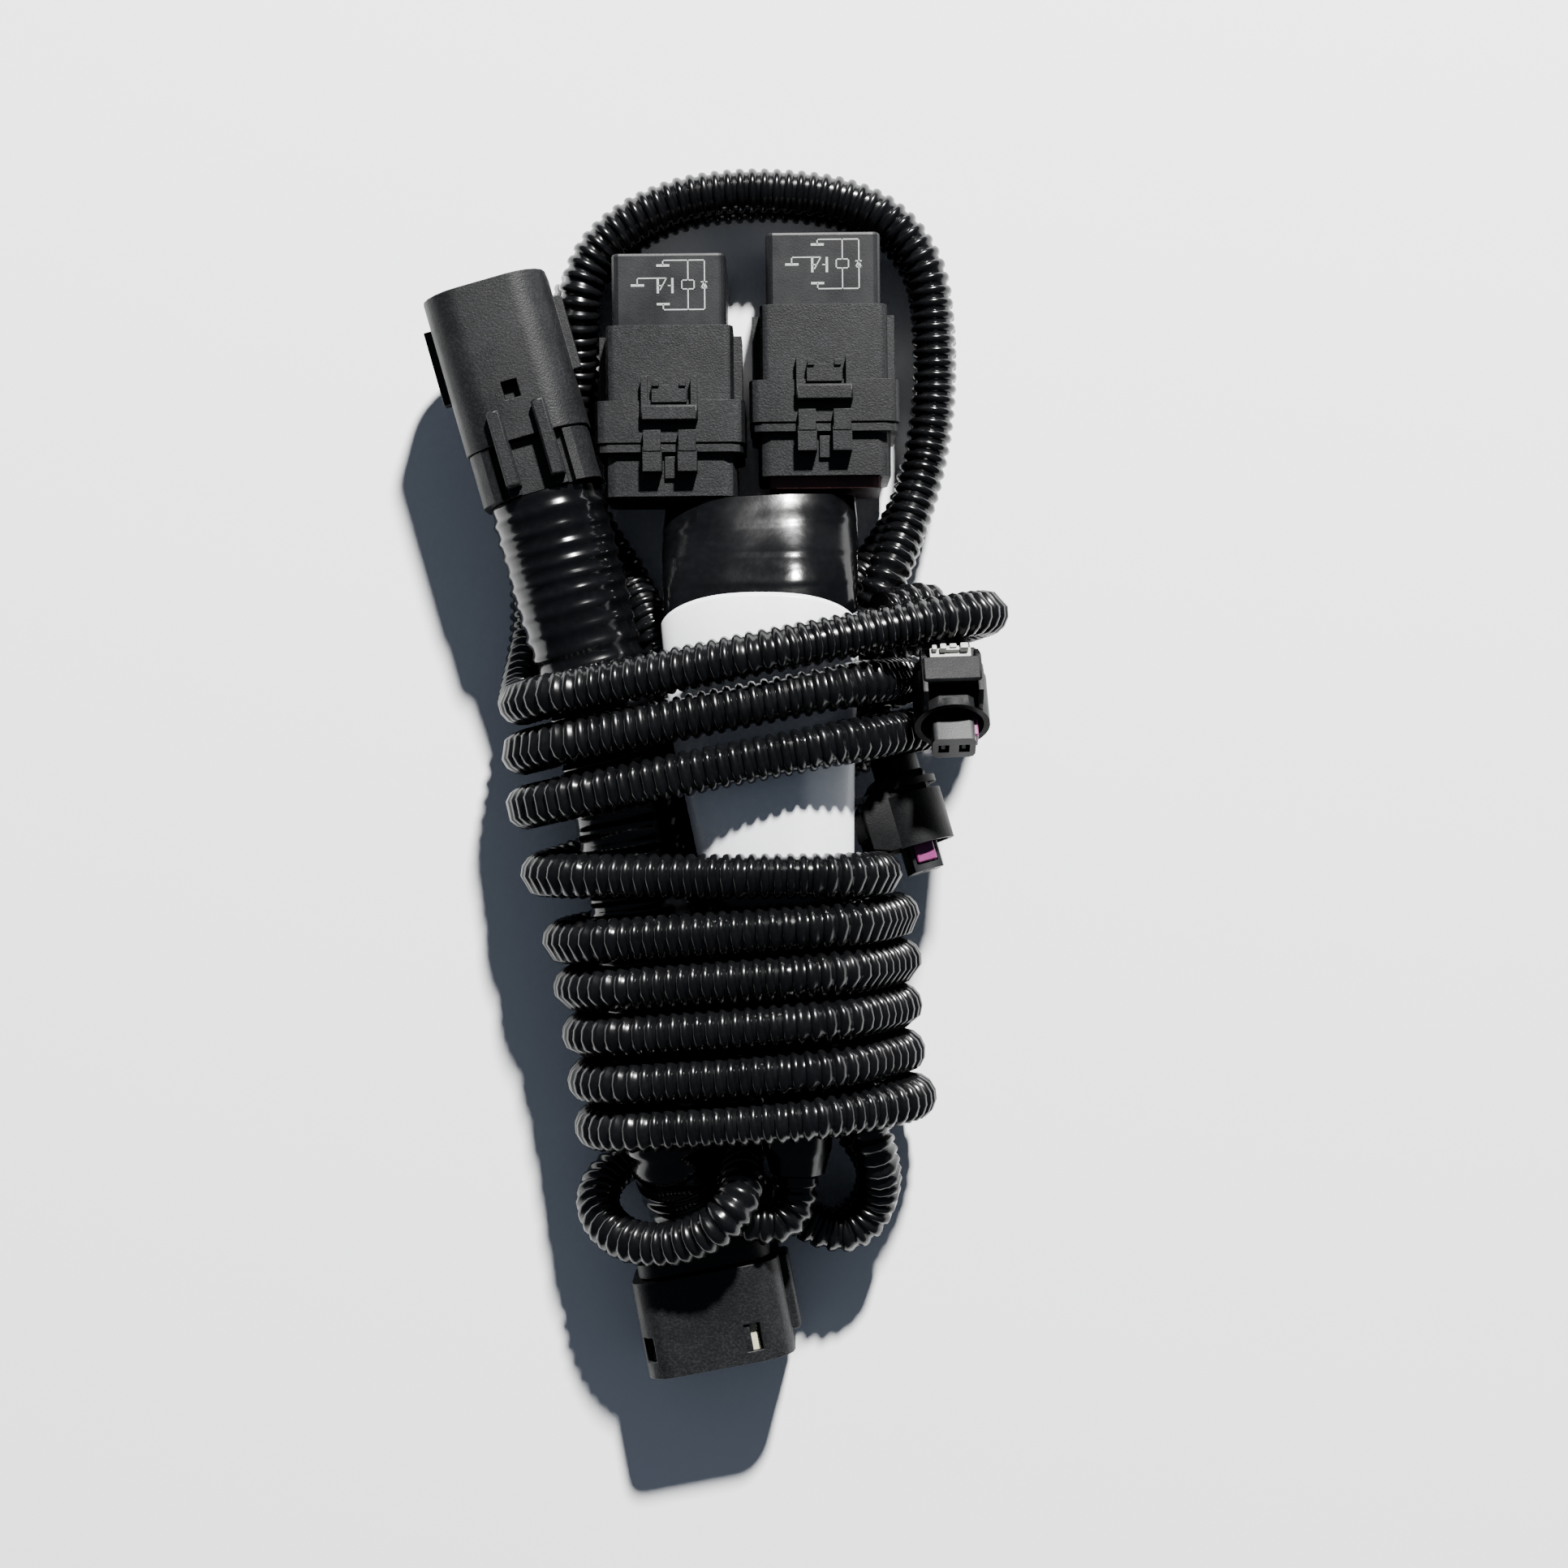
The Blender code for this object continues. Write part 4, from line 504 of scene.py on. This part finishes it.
def stationAt(stations, column, key):
    # the values between two stations of a table, where that column falls with each row
    if key >= stations[0][column]:
        return stations[0]
    for upper, lower in zip(stations, stations[1:]):
        if key >= lower[column]:
            share = (upper[column] - key) / (upper[column] - lower[column])
            return tuple(a + (b - a) * share for a, b in zip(upper, lower))
    return stations[-1]


def tapeEdge(phase):
    # a slow climb and a quick drop: the edge of a tape over the turn before
    part = phase - math.floor(phase)
    return part / tapeRise if part < tapeRise else (1 - part) / (1 - tapeRise)


def buildTrunkOne():
    values = trunkOne
    line = [p + shift for p in smoothLine([s[:3] for s in values["stations"]])]
    whole = lengthsOf(line)[-1]
    count = int(whole / values["ring"])
    wanted = [whole * i / count for i in range(count + 1)]
    frames = framesAlong(line, wanted)

    def radiusAt(i, angle):
        along = wanted[i]
        radius = stationAt(values["stations"], 1, frames[i][0].y - shift.y)[3]
        fade = min(1.0, (whole - along) / values["endFade"], along / values["startFade"])
        drift = values["drift"] * noise.noise(Vector((along / values["driftLength"], 2.0, 0.0)))
        ridge = 0.5 + 0.5 * math.cos(2 * math.pi * (along / values["ridgePitch"] + drift))
        spot = Vector((math.cos(angle) * values["around"], math.sin(angle) * values["around"],
                       along / values["along"]))
        patch = values["tightness"] + values["slack"] * noise.noise(spot * values["slackScale"])
        tape = tapeEdge(along / values["tapePitch"] + angle / (2 * math.pi))
        relief = (values["ridgeDepth"] * patch * ridge ** values["ridgePower"]
                  + values["tapeStep"] * tape
                  + values["lumps"] * noise.noise(spot * values["lumpScale"]))
        return radius - values["inset"] + fade * relief

    mesh = tubeFrom("trunk_one", frames, radiusAt, values["sides"])
    addPiece("main_trunk_wrap", mesh, "black_tape", nodes=["main_trunk_tape"], soft="tape")


buildTrunkOne()

# Taped trunk behind the relay sockets: y, centre x, centre z, half width and half height
trunkTwo = {
    "stations": (
        (64.9, -5.5, 17.0, 22.5, 12.5), (57.0, -5.5, 20.8, 23.3, 12.3),
        (48.0, -5.4, 27.2, 23.0, 11.2), (41.0, -5.3, 30.2, 22.7, 10.1),
        (34.0, -5.3, 31.2, 22.3, 9.8), (10.0, -4.6, 31.2, 20.5, 9.8),
        (-18.0, -1.5, 31.1, 17.4, 9.7), (-50.0, 1.0, 30.9, 12.8, 9.4),
        (-75.0, 2.6, 29.8, 9.4, 8.3), (-86.2, 3.0, 28.2, 7.9, 7.4), (-89.0, 3.0, 27.9, 6.2, 5.8),
    ),
    "smoothOver": (-3.0, -1.5, 0.0, 1.5, 3.0), "power": 2.2, "inset": 0.50,
    "rings": 260, "sides": 96, "skew": 0.045, "skewFrom": 48.0, "skewLength": 16.9,
    "tapePitch": 6.8, "tapeStep": 0.14, "tapeSlope": 0.10, "tapeDrift": 0.10, "driftLength": 40.0,
    "lumps": 0.50, "lumpScale": (1.9, 1.2, 34.0), "lumpsFrom": 65.0, "lumpsFade": 5.0,
    "crown": 1.3, "crownAt": 0.30, "crownWidth": 0.24,       # the bundle that stands proud on top
}
label = {
    "from": -17.0, "to": 36.0, "bow": 7.0, "spread": 78.0, "lift": 0.40, "thick": 0.12,
    "columns": 60, "rows": 60, "wrinkle": 0.05, "wrinkleAcross": 4, "wrinkleAlong": 12.0,
}


def smoothStation(y):
    # averaged a little so that the outline has no corners
    picks = [stationAt(trunkTwo["stations"], 0, y + d) for d in trunkTwo["smoothOver"]]
    return [sum(p[i] for p in picks) / len(picks) for i in range(5)]


def trunkTwoPoint(y, angle, lift):
    _, x, z, wide, high = smoothStation(y)
    power = 2 / trunkTwo["power"]
    across = math.copysign(abs(math.cos(angle)) ** power, math.cos(angle))
    up = math.copysign(abs(math.sin(angle)) ** power, math.sin(angle))
    ease = min(max((y - trunkTwo["skewFrom"]) / trunkTwo["skewLength"], 0.0), 1.0)
    skew = trunkTwo["skew"] * ease * wide * (1 + across)
    return Vector((x + (wide + lift) * across, y + skew, z + (high + lift) * up)) + shift


def trunkTwoRelief(y, angle):
    # bundles of wire under the tape: soft lumps that run along the trunk
    across, up, along = trunkTwo["lumpScale"]
    spot = Vector((math.cos(angle) * across, math.sin(angle) * up, y / along))
    crown = 0.0
    if math.sin(angle) > 0:
        crown = math.exp(-((math.cos(angle) - trunkTwo["crownAt"]) / trunkTwo["crownWidth"]) ** 2)
    fade = min(1.0, max(0.0, (trunkTwo["lumpsFrom"] - y) / trunkTwo["lumpsFade"]))
    return (noise.noise(spot) + trunkTwo["crown"] * crown) * fade


def buildTrunkTwo():
    values = trunkTwo
    shape = bmesh.new()
    rings = []
    top, low = values["stations"][0][0], values["stations"][-1][0]
    for i in range(values["rings"] + 1):
        y = top + (low - top) * i / values["rings"]
        ring = []
        for k in range(values["sides"]):
            angle = 2 * math.pi * k / values["sides"]
            drift = noise.noise(Vector((math.cos(angle), 0.0, y / values["driftLength"])))
            slope = values["tapeSlope"] * math.cos(angle) + values["tapeDrift"] * drift
            tape = tapeEdge((top - y) / values["tapePitch"] + slope) * values["tapeStep"]
            lift = trunkTwoRelief(y, angle) * values["lumps"] + tape - values["inset"]
            ring.append(shape.verts.new(trunkTwoPoint(y, angle, lift) * mm))
        rings.append(ring)
    joinRings(shape, rings)
    addPiece("relay_trunk_wrap", meshOf("trunk_two", shape), "black_tape",
             nodes=["relay_trunk_tape"], soft="tape")


def buildLabel():
    values = label
    shape = bmesh.new()
    grid = []
    for row in range(values["rows"] + 1):
        line = []
        for column in range(values["columns"] + 1):
            side = 2 * column / values["columns"] - 1
            top = values["to"] + values["bow"] * (1 - side * side)
            y = values["from"] + (top - values["from"]) * row / values["rows"]
            angle = math.radians(90 - values["spread"] * side)
            spot = Vector((side * values["wrinkleAcross"], y / values["wrinkleAlong"], 3.1))
            wrinkle = values["wrinkle"] * noise.noise(spot)
            lift = trunkTwoRelief(y, angle) * trunkTwo["lumps"] + values["lift"] + wrinkle
            line.append(shape.verts.new(trunkTwoPoint(y, angle, lift) * mm))
        grid.append(line)
    for low, high in zip(grid, grid[1:]):
        for k in range(values["columns"]):
            shape.faces.new((low[k], high[k], high[k + 1], low[k + 1]))
    bmesh.ops.recalc_face_normals(shape, faces=shape.faces)
    if sum(face.normal.z for face in shape.faces) < 0:
        bmesh.ops.reverse_faces(shape, faces=shape.faces)
    made = addPiece("wrapped_label", toMesh("label", shape), "white_label",
                    nodes=["trunk_label"], soft="label")
    skin = made.modifiers.new("thickness", "SOLIDIFY")
    skin.thickness = values["thick"] * mm
    skin.offset = 1.0


buildTrunkTwo()
buildLabel()
print("trunks and label made")

# Plugs, sockets and terminal blocks: the CAD solids with their edges rounded, in mm
softened = {
    "inlet_housing": 0.35, "inlet_rear_cover": 0.3, "outlet_housing": 0.35,
    "outlet_rear_cover": 0.4, "outlet_terminal_block": 0.3, "relay_1_socket": 0.3,
    "relay_2_socket": 0.3, "relay_1_socket_cover": 0.3, "relay_2_socket_cover": 0.3,
    "lamp_1_housing": 0.2, "lamp_2_housing": 0.2, "lamp_1_terminal_block": 0.25,
    "lamp_2_terminal_block": 0.25,
}
softEdge = {"merge": 1e-6, "flat": 1.0, "from": 38}      # metres, then degrees
slotOf = {row["node"]: row["material_slot"] for row in frame["record"]["subparts"]}


def soften(nodeName, slotName, width):
    shape = bmesh.new()
    shape.from_mesh(frame["nodes"][nodeName].data)
    bmesh.ops.remove_doubles(shape, verts=shape.verts, dist=softEdge["merge"])
    bmesh.ops.dissolve_limit(shape, angle_limit=math.radians(softEdge["flat"]),
                             verts=shape.verts, edges=shape.edges)
    made = addPiece(nodeName + "_finished", toMesh(nodeName + "_soft", shape), slotName,
                    nodes=[nodeName], soft="plastic")
    edge = made.modifiers.new("edge", "BEVEL")
    edge.width = width * mm
    edge.segments = rounding["segments"]
    edge.limit_method = "ANGLE"
    edge.angle_limit = math.radians(softEdge["from"])
    edge.use_clamp_overlap = True
    even = made.modifiers.new("even", "WEIGHTED_NORMAL")
    even.keep_sharp = True


for nodeName, width in softened.items():
    soften(nodeName, slotOf[nodeName], width)
for nodeName, node in frame["nodes"].items():      # the other solids are seen as they are
    node.data.materials.clear()
    node.data.materials.append(paintOf(nodeName, slotOf[nodeName]))
print("plugs and relays finished")

# Small plugs: where each one starts and how it is turned, and what its shell and lock add
lampPlug = {
    "places": (((37.0, 31.0, 30.0), 182.0, 33.0, 0.0), ((25.2, 6.2, 21.0), 196.0, 6.0, 80.0)),
    "cheek": ((4.4, 4.6), (5.2, 6.6), (10.2, 11.7), (20.0, 11.7), (21.3, 8.0), (21.3, 4.6)),
    "cheekFrom": 5.5, "cheekTo": 6.7, "cheekEdge": 0.3,
    "tabs": (((-4.4, 16.95, 7.7), (-2.4, 17.55, 10.3)), ((-1.5, 16.95, 7.7), (2.0, 17.55, 9.2)),
             ((2.7, 16.95, 7.7), (4.4, 17.55, 9.7))),
    "tabEdge": 0.2,
    "contacts": (((-2.9, 22.2, -1.5), (-1.7, 26.7, -0.5)), ((1.7, 22.2, -1.5), (2.9, 26.7, -0.5))),
    "contactEdge": 0.25, "contactSlant": (0.0, -1.2),
    "lock": (((-4.6, 7.45, 8.3), (4.6, 15.1, 10.5)), ((-4.0, 7.45, 9.6), (-2.2, 8.9, 12.3)),
             ((-2.0, 7.7, 9.6), (1.0, 8.9, 11.6)), ((-1.4, 7.45, 9.6), (0.2, 8.5, 12.1)),
             ((0.9, 7.45, 9.6), (2.3, 8.9, 12.2)), ((3.0, 7.45, 9.6), (4.1, 8.7, 11.8))),
    "lockEdge": 0.3,
}


def addCheek(shape, at, x0, x1):
    # a side wall of the latch, cut from its outline along y and z
    wall = bmesh.new()
    joinRings(wall, [[wall.verts.new((x, y, z)) for y, z in lampPlug["cheek"]] for x in (x0, x1)])
    addRounded(shape, wall, at, lampPlug["cheekEdge"])


def buildLampDetails(number):
    at = plugFrame(*lampPlug["places"][number - 1])
    tag = "lamp_%d_" % number
    shell = bmesh.new()
    addCheek(shell, at, lampPlug["cheekFrom"], lampPlug["cheekTo"])
    addCheek(shell, at, -lampPlug["cheekTo"], -lampPlug["cheekFrom"])
    for low, high in lampPlug["tabs"]:
        addBlock(shell, at, low, high, lampPlug["tabEdge"])
    addPiece(tag + "latch_walls", meshOf("latch walls", shell), "grained_black_plastic",
             soft="plastic")
    contacts = bmesh.new()
    for low, high in lampPlug["contacts"]:
        addBlock(contacts, at, low, high, lampPlug["contactEdge"], lampPlug["contactSlant"])
    addPiece(tag + "contacts", meshOf("contacts", contacts), "tinned_brass", soft="plastic")
    lock = bmesh.new()
    for low, high in lampPlug["lock"]:
        addBlock(lock, at, low, high, lampPlug["lockEdge"])
    addPiece(tag + "lock_finished", meshOf("lock", lock), "grey_lock_plastic", body=tag + "lock",
             nodes=[tag + "lock_slider"], soft="plastic")


buildLampDetails(1)
buildLampDetails(2)

# Outlet plug: the wall beside the ivory retainer in its window
outletPlug = {
    "place": ((-19.5, -106.1, 13.5), -169.3),
    "wall": ((-7.9, 19.7, 11.3), (-6.5, 25.9, 12.9)), "wallEdge": 0.2,
}


def buildWindowWall():
    shape = bmesh.new()
    addBlock(shape, plugFrame(*outletPlug["place"]), *outletPlug["wall"], outletPlug["wallEdge"])
    addPiece("outlet_window_wall", meshOf("wall", shape), "grained_black_plastic", soft="plastic")


buildWindowWall()
print("small plugs and window made")

# Printed circuit on a relay's cover: strokes from the middle of its front edge, x and back from it
diagram = {
    "thin": 0.26, "thick": 0.52, "height": 0.05, "sink": 0.03, "lift": 0.02, "turn": 0.6,
    "thinStrokes": (
        ((-1.40, -1.90), (8.12, -1.90)), ((8.12, -1.90), (8.12, -13.18)),
        ((8.12, -13.18), (-1.35, -13.18)), ((-1.40, -1.90), (-1.40, -3.00)),
        ((-1.35, -12.0), (-1.35, -13.18)), ((4.33, -1.90), (4.33, -6.45)),
        ((4.33, -8.48), (4.33, -13.18)), ((2.93, -6.45), (5.73, -6.45)),
        ((5.73, -6.45), (5.73, -8.48)), ((5.73, -8.48), (2.93, -8.48)),
        ((2.93, -8.48), (2.93, -6.45)), ((-7.27, -7.40), (-7.27, -5.96)),
        ((-7.27, -5.96), (-0.59, -5.96)), ((-0.59, -5.96), (-2.03, -8.57)),
        ((-2.40, -7.67), (-1.60, -7.67)), ((-0.14, -7.67), (0.60, -7.67)),
        ((8.03, -6.95), (7.40, -8.26)), ((7.40, -8.26), (8.66, -8.26)),
        ((8.66, -8.26), (8.03, -6.95)), ((7.42, -6.90), (8.64, -6.90)),
    ),
    "thickStrokes": (
        ((-2.60, -3.07), (-0.15, -3.07)), ((-2.60, -11.90), (-0.15, -11.90)),
        ((-8.48, -7.58), (-5.96, -7.58)), ((-2.57, -6.30), (-2.57, -9.16)),
        ((0.77, -6.20), (0.77, -9.16)),
    ),
}


def addStroke(shape, at, start, end, width):
    # a thin raised bar between two points, its ends half a width past them
    a, b = Vector((*start, 0)), Vector((*end, 0))
    ahead = (b - a).normalized()
    side = Vector((-ahead.y, ahead.x, 0)) * width / 2
    a, b = a - ahead * width / 2, b + ahead * width / 2
    low = Vector((0, 0, -diagram["sink"]))
    high = Vector((0, 0, diagram["height"] - diagram["sink"]))
    corners = [a - side, b - side, b + side, a + side]
    under = [shape.verts.new(at @ ((p + low) * mm)) for p in corners]
    over = [shape.verts.new(at @ ((p + high) * mm)) for p in corners]
    joinRings(shape, [under, over])


def buildDiagram(number):
    low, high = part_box("relay_%d_cover" % number)
    turn = Matrix.Rotation(math.radians(diagram["turn"]), 4, "Z")
    front = ((low[0] + high[0]) / 2, high[1], high[2] + diagram["lift"] * mm)
    at = Matrix.Translation(front) @ turn
    shape = bmesh.new()
    for start, end in diagram["thinStrokes"]:
        addStroke(shape, at, start, end, diagram["thin"])
    for start, end in diagram["thickStrokes"]:
        addStroke(shape, at, start, end, diagram["thick"])
    addPiece("relay_%d_print" % number, meshOf("print", shape), "relay_black_plastic",
             paint="pale_print")


buildDiagram(1)
buildDiagram(2)
print("circuit prints made")


def addFloor():
    shape = bmesh.new()
    bmesh.ops.create_grid(shape, x_segments=1, y_segments=1, size=studio["floorSize"])
    made = addObject("floor", toMesh("floor", shape))
    made.location = (0, 0, -studio["floorDrop"] * mm)
    plain = bpy.data.materials.new("plain floor")
    plain.use_nodes = True
    shader = plain.node_tree.nodes["Principled BSDF"]
    shader.inputs["Base Color"].default_value = (*studio["floor"], 1)
    shader.inputs["Roughness"].default_value = studio["floorRough"]
    made.data.materials.append(plain)


addFloor()
